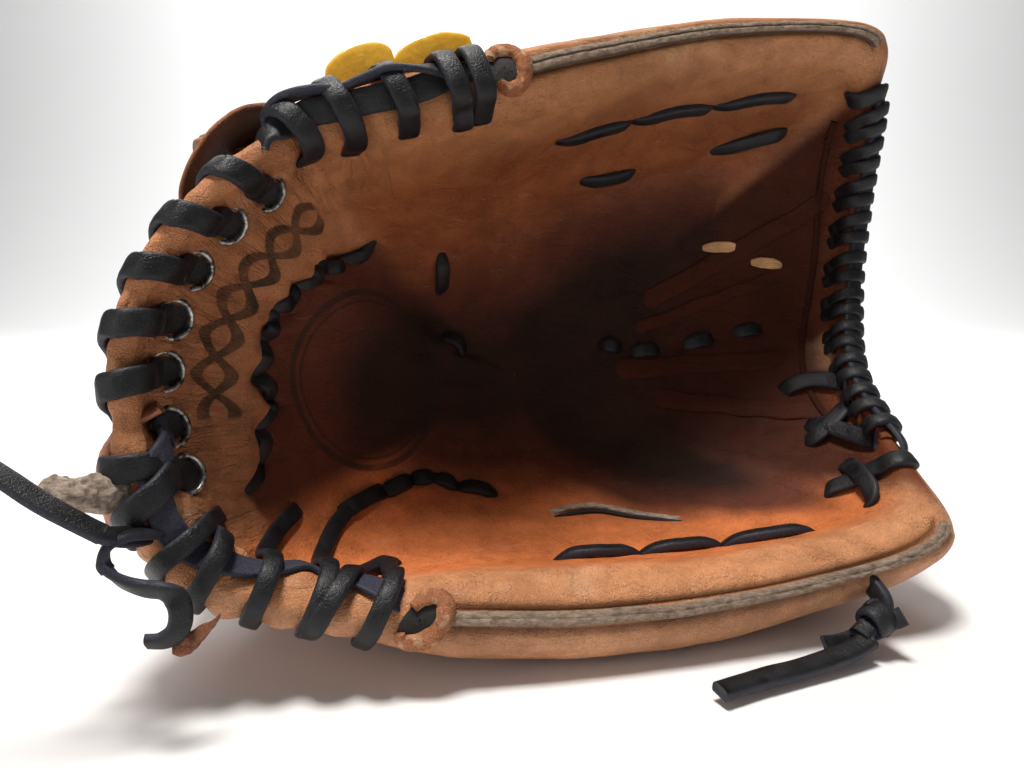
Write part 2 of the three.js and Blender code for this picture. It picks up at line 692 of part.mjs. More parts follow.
function addLooseEnds() {
  add("rawhide_stub", bar([[-126, -78, 62], [-134, -80, 60], [-143, -82, 57]], 10, 3, [0, 0.5, 1]), RAW);
  add("strap_tab", bar([[-136, -60, 80], [-138, -60, 70], [-135, -61, 57]], 8, 3, [0, 1, 0]), TAN);
  const knot = new THREE.IcosahedronGeometry(7, 1).scale(1, 0.8, 0.75).translate(...fromLying(...KNOT));
  knot.deleteAttribute("normal").deleteAttribute("uv");
  add("lace_knot", outward(mergeVertices(knot, 1e-4)), BLACK);
  add("tail_long", tube(cordPath(LONG_TAIL), CORD_RADIUS, 5), BLACK);
  add("tail_loop", tube(cordPath(CORNER_LOOP), CORD_RADIUS, 10), BLACK);
  add("tail_knot", tube(cordPath(KNOT_TAIL), CORD_RADIUS, 4), BLACK);
}

addShells();
addHeel();
addRimLaces();
addInnerLaces();
addTrim();
addLooseEnds();

// The mitt lies down, and its box without the free laces is centred over the origin.
const lie = new THREE.Group();
lie.applyMatrix4(LIE);
lie.add(mitt);
const part = new THREE.Group();
part.add(lie);
part.updateMatrixWorld(true);
const bounds = new THREE.Box3();
const isFree = (mesh) => mesh.name.startsWith("tail_");
mitt.children.filter((mesh) => !isFree(mesh)).forEach((mesh) => bounds.expandByObject(mesh, true));
const middle = bounds.getCenter(new THREE.Vector3());
lie.position.set(-middle.x, -middle.y, -bounds.min.z);

export default part;
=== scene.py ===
import itertools
import json
import math

import bmesh
import bpy
import numpy as np
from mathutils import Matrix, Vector


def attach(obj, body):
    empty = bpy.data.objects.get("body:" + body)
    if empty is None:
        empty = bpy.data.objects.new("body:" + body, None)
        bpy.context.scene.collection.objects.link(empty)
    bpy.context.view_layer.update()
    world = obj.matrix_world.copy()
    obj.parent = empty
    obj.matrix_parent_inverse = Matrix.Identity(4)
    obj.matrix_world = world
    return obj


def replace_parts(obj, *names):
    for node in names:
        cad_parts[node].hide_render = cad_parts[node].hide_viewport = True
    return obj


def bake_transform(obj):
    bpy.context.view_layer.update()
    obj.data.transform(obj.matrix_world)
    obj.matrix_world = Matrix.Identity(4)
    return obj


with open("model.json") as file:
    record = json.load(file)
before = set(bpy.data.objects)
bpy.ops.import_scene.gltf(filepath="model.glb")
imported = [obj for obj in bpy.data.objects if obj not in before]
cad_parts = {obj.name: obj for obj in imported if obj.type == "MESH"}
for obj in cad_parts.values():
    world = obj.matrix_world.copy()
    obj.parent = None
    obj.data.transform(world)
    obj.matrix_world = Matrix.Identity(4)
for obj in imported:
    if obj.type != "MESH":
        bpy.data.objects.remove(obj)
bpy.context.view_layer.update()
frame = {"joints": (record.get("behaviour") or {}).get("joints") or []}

# ---- the mitt's surface, in its own frame and mm
# The rim's crest: x, y, z, the radius of its roll, and how far the wall under it leans.
RIM = np.array([[-85, -38, 63, 8, 1.15], [-108, -44, 46, 7, 1.35], [-126, -45, 26, 7, 1.4],
    [-137, -43, 3, 7, 1.4], [-138, -38, -22, 7, 1.4], [-127, -31, -55, 8, 1.3], [-100, -30, -74, 11, 1.1],
    [-62, -33, -84, 12, 0.95], [-15, -36, -95, 13, 0.9], [46, -38, -101, 13, 0.9], [98, -42, -97, 12, 0.95],
    [116, -22, -76, 7, 1.0], [131, 8, -42, 4.5, 1.0], [150, 26, -3, 4.5, 1.0], [160, 16, 38, 4.5, 1.0],
    [157, -8, 68, 7, 1.0], [145, -30, 88, 12, 0.95], [82, -36, 90, 13, 0.9], [22, -39, 82, 12, 0.9],
    [-21, -41, 74, 11, 0.95], [-56, -40, 69, 10, 1.05]], float)
LAP = len(RIM)
FLOOR = np.array([0.0, 60.0, -5.0])
# The rim's roll takes this share of the way from the crest to the floor.
ROLL = 0.1
# In mm: from pocket to back at the hand and at the web, and how far the mitt's weight presses it flat.
HAND_DEPTH, WEB_DEPTH, PRESSED = 44.0, 9.0, 10.0
FINGER_FOLD = np.array([[-118.0, -18, -64], [128, 22, -60]])
# How the mitt lies: its own axes, in the row frame.
LIE_X = np.array([0.944, 0.305, 0.124])
LIE_X /= np.linalg.norm(LIE_X)
LIE_Z = np.array([-0.21, 0.267, 0.94])
LIE_Z -= LIE_X * LIE_Z.dot(LIE_X)
LIE_Z /= np.linalg.norm(LIE_Z)
LIE = np.stack([LIE_X, np.cross(LIE_Z, LIE_X), LIE_Z], 1)
JOINT = {j["name"]: j for j in frame["joints"]}
MOVED = np.array(JOINT["finger_fold"]["pos_m"]) * 1000 - LIE @ FINGER_FOLD[0]


def unit(v):
    """Vectors at length 1."""
    return v / np.maximum(np.linalg.norm(v, axis=-1, keepdims=True), 1e-9)


def to_row(p):
    """Points from the mitt's frame, in mm, to the row frame, in metres."""
    return (np.asarray(p, float) @ LIE.T + MOVED) / 1000


def smooth(x, low, high):
    """0 below low, 1 above high, and an even curve between."""
    t = np.clip((x - low) / (high - low), 0, 1)
    return t * t * (3 - 2 * t)


def bump(x, middle, width):
    """1 in the middle, fading to 0 on both sides."""
    return np.exp(-(((x - middle) / width) ** 2))


def apart(at, a):
    """How far along the rim one place is from another, the short way round."""
    return np.mod(at - a + LAP / 2, LAP) - LAP / 2


def rim(at):
    """The rim's row of numbers at any place along it."""
    at = np.asarray(at, float)
    i = np.floor(at).astype(int)
    f = (at - i)[..., None]
    p, q, r, s = (RIM[(i + k) % len(RIM)] for k in (-1, 0, 1, 2))
    return 0.5 * (2 * q + (r - p) * f + (2 * p - 5 * q + 4 * r - s) * f * f + (3 * q - p - 3 * r + s) *
        f**3)


def window(at, low, high, soft=0.35):
    """1 between two places along the rim, and 0 outside them. Low may be under zero."""
    at = np.mod(np.asarray(at, float) - (low - 2), LAP) + (low - 2)
    return smooth(at, low - soft, low + soft) * (1 - smooth(at, high - soft, high + soft))


def drawn_in(at):
    """The laces draw the rim's roll in, at the heel and along the web: its share that is left."""
    return 1 - 0.75 * window(at, -0.2, 4.1) - 0.4 * window(at, 4.4, 6.6) - 0.55 * window(at, 11.0, 15.3)


def sunk(at):
    """How far the rim's crest is drawn in, in mm."""
    return 3.0 * window(at, -0.1, 4.0) + 1.4 * window(at, 5.4, 6.4) + 4.5 * window(at, 11.0, 12.6, 0.6)


def free_skin(at, side):
    """Points of the leather: side is -1 at the pocket's floor, 0 at the crest, and 1 in the back's middle."""
    at, side = np.broadcast_arrays(np.asarray(at, float), np.asarray(side, float))
    w = rim(at)
    y, roll, lean = w[..., 1], w[..., 3], w[..., 4]
    ax, az = w[..., 0] - FLOOR[0], w[..., 2] - FLOOR[2]
    reach = np.hypot(ax, az)
    ax, az = ax / reach, az / reach
    r = 1 - np.abs(side)
    back = side > 0
    sign = np.where(back, drawn_in(at), -1)
    reach = reach - sunk(at) * smooth(r, np.where(back, 0.4, 0.86), np.where(back, 0.9, 1.0))
    shoulder = y + roll
    turn = np.clip((r - (1 - ROLL)) / ROLL, 0, 1) * np.pi / 2
    out_roll = reach + sign * roll * np.cos(turn)
    deep_roll = shoulder - roll * np.sin(turn)
    turn = np.clip(r / (1 - ROLL), 0, 1) * np.pi / 2
    bow = np.where(back, 0.8, lean)
    out_wall = (reach + sign * roll) * np.sin(turn) ** bow
    depth = HAND_DEPTH + (WEB_DEPTH - HAND_DEPTH) * smooth(FLOOR[0] + ax * out_wall, 25, 100)
    floor = FLOOR[1] + np.where(back, depth, 0)
    deep_wall = shoulder + (floor - shoulder) * np.clip(np.cos(turn), 0, 1) ** bow
    rolled = r >= 1 - ROLL
    out = np.where(rolled, out_roll, out_wall)
    return np.stack([FLOOR[0] + ax * out, np.where(rolled, deep_roll, deep_wall), FLOOR[2] + az * out], -1)


finger_wall = free_skin(*np.meshgrid(np.arange(6, 10, 0.25), np.arange(0.05, 1, 0.05)))
LYING_PLANE = (finger_wall @ LIE.T)[..., 2].min() + PRESSED


def skin(at, side):
    """The leather's points, with the back pressed flat where the mitt lies on it."""
    p = free_skin(at, side) @ LIE.T
    side = np.broadcast_to(side, p.shape[:-1])
    p[..., 2] = np.where(side > 0, np.maximum(p[..., 2], LYING_PLANE), p[..., 2])
    return p @ LIE


# Distances from the crest, measured over the leather: negative on the pocket's side.
AT_STEP = 0.04
ATS = np.arange(0, LAP + 0.001, AT_STEP)
SIDES = np.linspace(-1, 1, 601)
walked = np.cumsum(np.linalg.norm(np.diff(skin(ATS[:, None], SIDES[None, :]), axis=1), axis=-1), 1)
walked = np.concatenate([np.zeros((len(ATS), 1)), walked], 1)
DISTANCE = walked - walked[:, len(SIDES) // 2, None]


def side_at(at, distance):
    """The side at a distance from the crest."""
    at, distance = np.broadcast_arrays(np.mod(np.asarray(at, float), LAP), np.asarray(distance, float))
    flat_at, flat_d = at.ravel(), distance.ravel()
    k = np.clip((flat_at / AT_STEP).astype(int), 0, len(ATS) - 2)
    f = flat_at / AT_STEP - k
    result = np.empty(len(flat_at))
    for row in np.unique(k):
        pick = k == row
        low, high = (np.interp(flat_d[pick], DISTANCE[row + i], SIDES) for i in (0, 1))
        result[pick] = low * (1 - f[pick]) + high * f[pick]
    return result.reshape(at.shape)


def longest(at, front=True):
    """How far it is over the leather from the crest to the pocket's floor, or to the middle of the back."""
    return np.interp(np.mod(np.asarray(at, float), LAP), ATS, np.abs(DISTANCE[:, 0 if front else -1]))


# ---- noise
LATTICE = np.random.default_rng(7).random((64, 64, 64))


def noise(p, size, seed):
    """Smooth noise from -1 to 1 at points in mm, with features of a size in mm."""
    q = np.asarray(p, float) / size + 17.3 * (seed + 1)
    i = np.floor(q).astype(int)
    f = q - i
    f = f * f * (3 - 2 * f)
    i %= len(LATTICE)
    j = (i + 1) % len(LATTICE)
    total = 0
    for corner in itertools.product((0, 1), repeat=3):
        weights = [f[..., axis] if far else 1 - f[..., axis] for axis, far in enumerate(corner)]
        spot = tuple((j if far else i)[..., axis] for axis, far in enumerate(corner))
        total = total + math.prod(weights) * LATTICE[spot]
    return 2 * total - 1


# ---- leather relief
# Heel eyelets: along the rim, and inwards from the crest.
EYELETS = [(0.54, 20), (1.16, 19.5), (1.84, 20), (2.48, 21), (3.12, 22), (3.78, 21.5), (4.3, 21.5)]
SCALLOP = [(-1.0, 88), (-0.42, 70), (0.1, 67), (0.45, 61), (0.85, 66), (1.3, 58), (1.75, 64), (2.2, 57),
    (2.7, 64), (3.15, 58), (3.6, 66), (3.98, 56), (4.35, 55), (4.62, 42)]


def seam_distance(at):
    """How far from the crest the heel's pad ends in its laced seam."""
    at = np.mod(at, LAP)
    return np.interp(np.where(at < 12, at, at - LAP), *zip(*SCALLOP))


# Rows of short stitches: the holes, along the rim and inwards from the crest.
STITCHES = {"finger_rim": [(7.92, 49), (8.52, 47.5), (9.08, 45), (9.68, 39)],
    "thumb_rim": [(16.12, 38), (16.72, 44), (17.38, 44), (18.04, 44)],
    "heel_scallop": [(4.6, 42), (4.36, 54), (3.92, 57), (3.5, 65), (3.0, 59), (2.45, 60), (1.85, 57),
    (1.3, 62), (0.76, 60), (0.3, 68), (-0.42, 69)], "palm_row": [(5.68, 85), (5.92, 97), (6.3, 101),
    (6.86, 96), (7.5, 94)], "thumb_join_high": [(17.56, 72), (16.98, 75)],
    "thumb_join_low": [(16.4, 70), (15.74, 50)]}
DASHES = {"pocket_dash": [(12.95, 41), (12.96, 54), (12.95, 64), (12.92, 78), (12.92, 90), (13.0, 104),
    (13.2, 112), (13.5, 126)], "palm_dash_high": [(19.58, 84), (20.04, 103)],
    "palm_dash_low": [(0.1, 123), (0.48, 138)]}
# Every hole that a lace dives into.
PRICKS = [hole for rows in (*STITCHES.values(), *DASHES.values()) for hole in rows]
PRICKS += [(20.94, 19), (20.42, 17), (19.8, 13), (19.12, 12), (19.22, 8), (4.74, 27), (5.04, 56),
    (6.48, 45)]


# A small step along the rim, for slopes.
NUDGE = 0.02


def run_scale(at, distance):
    """Millimetres of leather for each step along the rim."""
    side = side_at(at, -distance)
    return np.linalg.norm(skin(at + NUDGE, side) - skin(at - NUDGE, side), axis=-1) / (2 * NUDGE)


PRICK_SCALES = [float(run_scale(np.array(a), np.array(d))) for a, d in PRICKS]
# Millimetres to a step along the rim: at the heel's eyelets, and at the puffs between its laces.
HEEL_STEP, PUFF_STEP = 27, 30
# Where each wall's welt begins and ends along the rim.
WELTS = {"finger": (7.0, 10.2), "thumb": (15.9, 18.6)}
# Leather that swells between the laces: place, distance into the pocket, height and reach.
PUFFS = [(5.2, 13, 2.6, 4.5), (5.76, 12, 2.4, 4.5), (5.08, -9, 3.4, 4.4), (5.47, -9, 3.2, 4.6),
    (5.9, -9, 2.0, 4.2), (4.72, -9, 3.0, 4.0), (6.33, -8, 1.6, 5), (20.62, 9, 1.2, 6), (20.1, 8, 1.2, 6),
    (19.5, 8, 1.2, 6), (9.9, 12, 1.2, 9), (9.3, 16, 0.9, 12)]


def relief(at, distance, p):
    """How far the leather stands off its smooth shape, in mm. Here the pocket's distances are over 0."""
    at, d = np.broadcast_arrays(np.mod(at, LAP), np.asarray(distance, float))
    front = d > 0
    h = 0.9 * noise(p, 34, 1) + 0.35 * noise(p, 13, 2) + 0.12 * noise(p, 5, 3)
    h = h * smooth(np.abs(d), 2, 14)
    # leather drawn in round each eyelet, and ridges between them
    knots = np.array([e[0] for e in EYELETS])
    phase = np.interp(at, knots, np.arange(len(knots)), left=-1, right=len(knots))
    phase = np.where(at < knots[0], (at - knots[0]) / 0.62, phase)
    phase = np.where((at > knots[-1]) & (at < 12), len(knots) - 1 + (at - knots[-1]) / 0.52, phase)
    phase = np.where(at > 18.4, (at - LAP - knots[0]) / 0.62, phase)
    heel = window(at, -1.6, 5.3, 0.5)
    reach = 0.5 + 0.5 * noise(np.stack([phase * 40, d * 0, d * 0], -1), 31, 4)
    pull = np.cos(2 * np.pi * phase) * bump(d, 17, 13 + 8 * reach)
    h = h - 1.15 * heel * front * pull
    fine = np.cos(4 * np.pi * phase + 2.2 * noise(p, 16, 5)) * bump(d, 27, 13)
    h = h - 0.4 * heel * front * fine
    for a, inset in EYELETS:
        near = np.hypot((at - a) * HEEL_STEP, d - inset)
        h = h - 1.1 * front * (1 - smooth(near, 2, 8.5))
    for (a, inset), scale in zip(PRICKS, PRICK_SCALES):
        h = h - 1.5 * front * np.exp(-((apart(at, a) * scale) ** 2 + (d - inset) ** 2) / 14)
    for low, high in WELTS.values():
        along = smooth(at, low - 0.08, low + 0.05) * (1 - smooth(at, high - 0.05, high + 0.08))
        h = h - 1.5 * along * bump(np.abs(d), 2.7, 1.0)
        h = h + 0.5 * along * bump(np.abs(d), 7, 3.5)
    for a, over, high, wide in PUFFS:
        h = h + high * np.exp(-((apart(at, a) * PUFF_STEP) ** 2 + (d - over) ** 2) / wide**2)
    # the seam round the heel's pad
    seam = seam_distance(at)
    groove = 2.2 * bump(d, seam + 1.5, 2.6) - 1.2 * bump(d, seam - 7, 6)
    h = h - front * window(at, -0.4, 4.55, 0.15) * groove
    # creases along the folds
    for ats, depths, seed, width, (low, high), sinks, varies in (
        ([5.5, 7, 8.5, 10], [62, 84, 82, 66], 6, 4.5, (6.0, 10.0), 1.5, True),
        ([15, 16.5, 18, 20], [60, 78, 84, 64], 8, 5, (16.0, 19.2), 1.2, False),
    ):
        fold = np.interp(at, ats, depths) + 3 * noise(p, 24, seed)
        crease = bump(d, fold, width) * window(at, low, high, 0.8)
        h = h - sinks * front * crease * (0.6 + 0.4 * noise(p, 30, 7) if varies else 1)
    # padded rolls along both walls
    return h + 1.1 * front * bump(d, 26, 15) * (window(at, 6.9, 10.2) + window(at, 15.9, 19.0))


def place(at, distance, height, rough=True):
    """Points over the leather, from a distance past the crest (under 0 in the pocket) and a height."""
    at, distance, height = (np.array(q, float) for q in np.broadcast_arrays(at, distance, height))
    side = side_at(at, distance)
    p = skin(at, side)
    lift = height + (relief(at, -distance, p) if rough else 0)
    return p + normal(at, side) * np.asarray(lift)[..., None]


def normal(at, side):
    """The leather's outward direction."""
    step = 0.004
    side = np.clip(side, -0.99, 0.99)
    across = skin(at, side + step) - skin(at, side - step)
    along = skin(at + NUDGE, side) - skin(at - NUDGE, side)
    return unit(np.cross(across, along))


# ---- camera
# It looks 8 degrees down.
CAMERA_MM = np.array([-15.0, -275.0, 18.3]) + MOVED
camera = bpy.data.objects.new("camera", bpy.data.cameras.new("camera"))
camera.location = CAMERA_MM / 1000
camera.rotation_euler = (math.radians(90 - 8), 0, 0)
camera.data.lens = 27
camera.data.sensor_width = 36
camera.data.clip_start = 0.01
bpy.context.collection.objects.link(camera)
bpy.context.scene.camera = camera


# ---- mesh tools
def new_object(name, verts, faces, material, body=None):
    """A smooth mesh object in the row frame and metres, riding a body if one is named."""
    mesh = bpy.data.meshes.new(name)
    mesh.from_pydata([tuple(v) for v in np.asarray(verts).reshape(-1, 3)], [], faces)
    mesh.validate()
    mesh.shade_smooth()
    obj = bpy.data.objects.new(name, mesh)
    bpy.context.collection.objects.link(obj)
    if material:
        mesh.materials.append(material)
    if body:
        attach(obj, body)
    return obj


def grid_faces(n, m, close_n=False, close_m=False, flip=False):
    """The faces between n rings of m points: either way round can be closed."""
    faces = []
    for i in range(n if close_n else n - 1):
        for j in range(m if close_m else m - 1):
            a, b = i * m + j, ((i + 1) % n) * m + j
            c, d = ((i + 1) % n) * m + (j + 1) % m, i * m + (j + 1) % m
            faces.append((a, d, c, b) if flip else (a, b, c, d))
    return faces


def capped(grid):
    """The points and faces of a tube through rings of points, closed at both ends."""
    n, m = grid.shape[:2]
    verts = np.concatenate([grid.reshape(-1, 3), grid[:1].mean(1), grid[-1:].mean(1)])
    faces = grid_faces(n, m, close_m=True)
    faces += [(n * m, (j + 1) % m, j) for j in range(m)]
    faces += [(n * m + 1, (n - 1) * m + j, (n - 1) * m + (j + 1) % m) for j in range(m)]
    return verts, faces


def soft_section(count, across, through, begin=0.0):
    """A flat section with round corners: the lower the powers, the squarer it is."""
    turn = 2 * np.pi * (np.arange(count) + begin) / count
    c, s = np.cos(turn), np.sin(turn)
    return np.stack([np.copysign(np.abs(c) ** across, c), np.copysign(np.abs(s) ** through, s)], -1)


def swept(middle, across, up, section):
    """Rings of points round a line, from a section of (across, up) in mm."""
    section = np.broadcast_to(section, (len(middle), *section.shape[-2:]))
    return middle[:, None] + across[:, None] * section[..., :1] + up[:, None] * section[..., 1:]


def squared(line, up):
    """The directions along, up and across a line, at right angles."""
    along = unit(np.gradient(line, axis=0))
    up = unit(up - along * (up * along).sum(-1, keepdims=True))
    return along, up, np.cross(along, up)


def length_along(p):
    """How far along a line each of its points is."""
    return np.concatenate([[0], np.cumsum(np.linalg.norm(np.diff(p, axis=0), axis=1))])


def paint(obj, name, values):
    """Gives each vertex a number or a colour that the materials read."""
    values = np.asarray(values, np.float32)
    if values.ndim == 1:
        layer = obj.data.attributes.new(name, "FLOAT", "POINT")
        layer.data.foreach_set("value", values)
    else:
        layer = obj.data.attributes.new(name, "FLOAT_COLOR", "POINT")
        rgba = np.concatenate([values, np.ones((len(values), 1), np.float32)], 1)
        layer.data.foreach_set("color", rgba.ravel())


def catmull(rows, steps):
    """Rows of numbers, with smooth steps between each and the next."""
    rows = np.asarray(rows, float)
    ext = np.vstack([2 * rows[0] - rows[1], rows, 2 * rows[-1] - rows[-2]])
    out = []
    for p, q, r, s in zip(ext, ext[1:], ext[2:], ext[3:]):
        t = np.arange(steps)[:, None] / steps
        out.append(0.5 * (2 * q + (r - p) * t + (2 * p - 5 * q + 4 * r - s) * t**2 + (3 * q - p - 3 * r + s)
            * t**3))
    return np.vstack([*out, rows[-1:]])


SECTION = soft_section(16, 0.42, 0.55, 0.5)


def lace(name, rows, material, body, width, thick, steps, seed, taper=None, row_space=False):
    """A flat lace along rows of x, y, z, up x, up y, up z in mm, in the mitt's frame, or the row frame's."""
    rows = catmull(rows, steps)
    p = rows[:, :3]
    _, up, across = squared(p, unit(rows[:, 3:6]))
    w = width / 2 * (1 + 0.03 * noise(p, 9, 11 + seed))
    t = thick / 2 * (1 + 0.05 * noise(p, 7, 12 + seed))
    if taper is not None:
        share = np.interp(np.linspace(0, 1, len(p)), *taper)
        w, t = w * share, t * np.sqrt(share)
    rise = SECTION[:, 1] + 0.25 * (1 - SECTION[:, 0] ** 2)
    ring = swept(p, across, up, np.stack([w[:, None] * SECTION[:, 0], t[:, None] * rise], -1))
    verts, faces = capped(ring / 1000 if row_space else to_row(ring))
    obj = new_object(name, verts, faces, material, body)
    paint(obj, "edge", np.append(np.tile(smooth(np.abs(SECTION[:, 0]), 0.86, 0.99), len(p)), [1, 1]))
    paint(obj, "under", np.append(np.tile(np.where(SECTION[:, 1] < -0.2, 1.0, 0.0), len(p)), [0.5, 0.5]))
    return obj


def over_skin(stops, steps):
    """Rows for lace() from stops of (at, distance, height), smoothed over the leather."""
    q = catmull(stops, steps)
    return np.hstack([place(*q.T), normal(q[:, 0], side_at(q[:, 0], q[:, 1]))])


# ---- materials
class Graph:
    """A material's nodes, with one call for each kind of node that the materials use."""

    def __init__(self, name):
        self.material = bpy.data.materials.new(name)
        self.material.use_nodes = True
        self.tree = self.material.node_tree
        self.shader = self.tree.nodes["Principled BSDF"]
        self.where = self.node("ShaderNodeTexCoord").outputs["Object"]

    def join(self, value, socket):
        """Links one socket to another, or sets it to a number, a vector or a colour."""
        if isinstance(value, bpy.types.NodeSocket):
            self.tree.links.new(value, socket)
        else:
            socket.default_value = (*value, 1) if socket.type == "RGBA" else value

    def node(self, kind, settings=(), **inputs):
        made = self.tree.nodes.new(kind)
        for key, value in dict(settings).items():
            setattr(made, key, value)
        for key, value in inputs.items():
            self.join(value, made.inputs[key.replace("_", " ")])
        return made

    def finish(self, layers, **inputs):
        """Sets the shader's inputs, and stacks bumps of (height, distance in metres, strength)."""
        for key, value in inputs.items():
            self.join(value, self.shader.inputs[key.replace("_", " ")])
        last = None
        for height, distance, strength in layers:
            made = self.node("ShaderNodeBump", Strength=strength, Distance=distance, Height=height)
            if last:
                self.join(last, made.inputs["Normal"])
            last = made.outputs["Normal"]
        if last:
            self.join(last, self.shader.inputs["Normal"])
        return self.material

    def attribute(self, name, output="Fac"):
        return self.node("ShaderNodeAttribute", {"attribute_name": name}).outputs[output]

    def mix(self, factor, a, b, mode="MIX"):
        made = self.node("ShaderNodeMix", {"data_type": "RGBA", "blend_type": mode})
        for i, value in ((0, factor), (6, a), (7, b)):
            self.join(value, made.inputs[i])
        return made.outputs[2]

    def ramp(self, value, low, high, a=0.0, b=1.0):
        made = self.node("ShaderNodeMapRange", Value=value, From_Min=low, From_Max=high, To_Min=a, To_Max=b)
        return made.outputs["Result"]

    def noise(self, scale, detail, rough, stretch=None, where=None):
        where = where or self.where
        if stretch:
            where = self.node("ShaderNodeMapping", Vector=where, Scale=stretch).outputs["Vector"]
        made = self.node("ShaderNodeTexNoise", Vector=where, Scale=scale, Detail=detail, Roughness=rough)
        return made.outputs["Fac"]

    def math(self, operation, a, b=0.0):
        made = self.node("ShaderNodeMath", {"operation": operation})
        for socket, value in zip(made.inputs, (a, b)):
            self.join(value, socket)
        return made.outputs[0]

    def cells(self, scale, where):
        """How far each point is from the edge of its pore."""
        made = self.node("ShaderNodeTexVoronoi", {"feature": "DISTANCE_TO_EDGE"}, Vector=where, Scale=scale)
        return made.outputs["Distance"]

    def masked(self, value, low, high, soft):
        """1 while a value is between low and high, fading to 0 over soft."""
        rising = self.ramp(value, low - soft, low + soft)
        return self.math("MULTIPLY", rising, self.ramp(value, high - soft, high + soft, 1.0, 0.0))


def heel_wrinkles(g):
    """Fine creases that run from between the eyelets into the pocket."""
    along, inward = g.attribute("along"), g.attribute("inward")
    stretched = g.node("ShaderNodeCombineXYZ", X=g.math("MULTIPLY", along, 27.0),
        Y=g.math("MULTIPLY", inward, 0.22)).outputs[0]
    veins = g.math("ABSOLUTE", g.math("SUBTRACT", g.noise(0.24, 3, 0.5, where=stretched), 0.5))
    heel = g.math("MULTIPLY", g.masked(inward, 10.0, 44.0, 9.0), g.masked(along, -0.9, 5.2, 0.5))
    return g.math("MAXIMUM", g.ramp(veins, 0.0, 0.07), g.math("SUBTRACT", 1.0, heel))


def ink_marks(g):
    """A plain braided band inked round the heel, and a plain double ring in the palm."""
    along, inward, ring = g.attribute("along"), g.attribute("inward"), g.attribute("ring")
    wave = g.math("SINE", g.math("MULTIPLY", along, 5.6))
    strokes = []
    for sign in (1, -1):
        off = g.math("SUBTRACT", g.math("SUBTRACT", inward, 42.0), g.math("MULTIPLY", wave, 6.4 * sign))
        strokes.append(g.ramp(g.math("ABSOLUTE", off), 2.2, 2.9, 1.0, 0.0))
    marks = g.math("MULTIPLY", g.math("MAXIMUM", *strokes), g.masked(along, 0.1, 3.75, 0.03))
    for radius, wide in ((33.0, 1.5), (29.5, 0.6)):
        off = g.math("ABSOLUTE", g.math("SUBTRACT", ring, radius))
        marks = g.math("MAXIMUM", marks, g.ramp(off, wide * 0.6, wide, 0.8, 0.0))
    return marks


def leather(name, rough, grain=1.0, wear=0.6, coat=0.08, marked=False):
    """Grained leather in the piece's own painted colour."""
    g = Graph(name)
    base = g.attribute("paint", "Color")
    broad, spots, fine = g.noise(26, 5, 0.6), g.noise(130, 4, 0.6), g.noise(900, 3, 0.7)
    tint = base
    for height, low, high, dark, pale in (
        (broad, 0.3, 0.7, (0.74, 0.70, 0.66), (1.22, 1.2, 1.16)),
        (spots, 0.35, 0.68, (0.86, 0.83, 0.80), (1.08, 1.08, 1.08)),
        (fine, 0.3, 0.7, (0.85, 0.84, 0.83), (1.1, 1.1, 1.1)),
    ):
        tint = g.mix(1.0, tint, g.mix(g.ramp(height, low, high), dark, pale), "MULTIPLY")
    # scuffs are thin pale scratches, and fewer on the dark leather
    bright = g.node("ShaderNodeRGBToBW", Color=base).outputs[0]
    scuffed = g.math("MULTIPLY", g.ramp(g.noise(60, 6, 0.75, (1.0, 1.0, 7.0)), 0.61, 0.70), wear * 0.5)
    scuffed = g.math("MULTIPLY", scuffed, g.ramp(bright, 0.02, 0.12))
    tint = g.mix(scuffed, tint, (0.52, 0.36, 0.24))
    dirty = g.math("MULTIPLY", g.ramp(g.noise(75, 6, 0.7, (6.0, 1.0, 1.0)), 0.6, 0.72), wear * 0.45)
    tint = g.mix(dirty, tint, (0.035, 0.016, 0.008))
    # pores, pushed out of line
    warp = g.node("ShaderNodeTexNoise", Vector=g.where, Scale=260.0, Detail=3.0).outputs["Color"]
    push = g.node("ShaderNodeVectorMath", {"operation": "MULTIPLY_ADD"})
    for socket, value in zip(push.inputs, (warp, (0.0016, 0.0016, 0.0016), g.where)):
        g.join(value, socket)
    pores = g.ramp(g.cells(1150.0, push.outputs[0]), 0.0, 0.18)
    pored = g.mix(1.0, tint, g.mix(pores, (0.78, 0.75, 0.72), (1.04, 1.04, 1.04)), "MULTIPLY")
    tint = g.mix(0.5, tint, pored)
    wrinkle = g.math("ABSOLUTE", g.math("SUBTRACT", g.noise(42, 6, 0.62, (1.0, 1.0, 2.6)), 0.5))
    layers = [(spots, 0.0016, 0.5), (g.ramp(wrinkle, 0.0, 0.035), 0.0007, 0.5),
        (pores, 0.00024, 0.65 * grain), (fine, 0.0002, 0.4)]
    if marked:
        inked = g.math("MULTIPLY", ink_marks(g), g.ramp(spots, 0.25, 0.62, 0.45, 0.92))
        tint = g.mix(inked, tint, (0.022, 0.020, 0.014))
        creases = heel_wrinkles(g)
        # painted shade: the heel's creases are darkened
        painted_crease_shade = g.math("MULTIPLY", g.math("SUBTRACT", 1.0, creases), 0.22)
        tint = g.mix(painted_crease_shade, tint, (0.06, 0.026, 0.014))
        layers.insert(0, (creases, 0.0010, 0.5))
    # the dark leather of the pocket is duller than the pale leather of the rim
    level = g.math("ADD", g.ramp(spots, 0.3, 0.7, -0.09, 0.11), rough)
    level = g.math("ADD", level, g.ramp(bright, 0.012, 0.12, 0.3, 0.0))
    return g.finish(layers, Base_Color=tint, Roughness=level, Specular_IOR_Level=0.17,
        Coat_Weight=g.ramp(bright, 0.02, 0.12, 0.0, coat), Coat_Roughness=0.35)


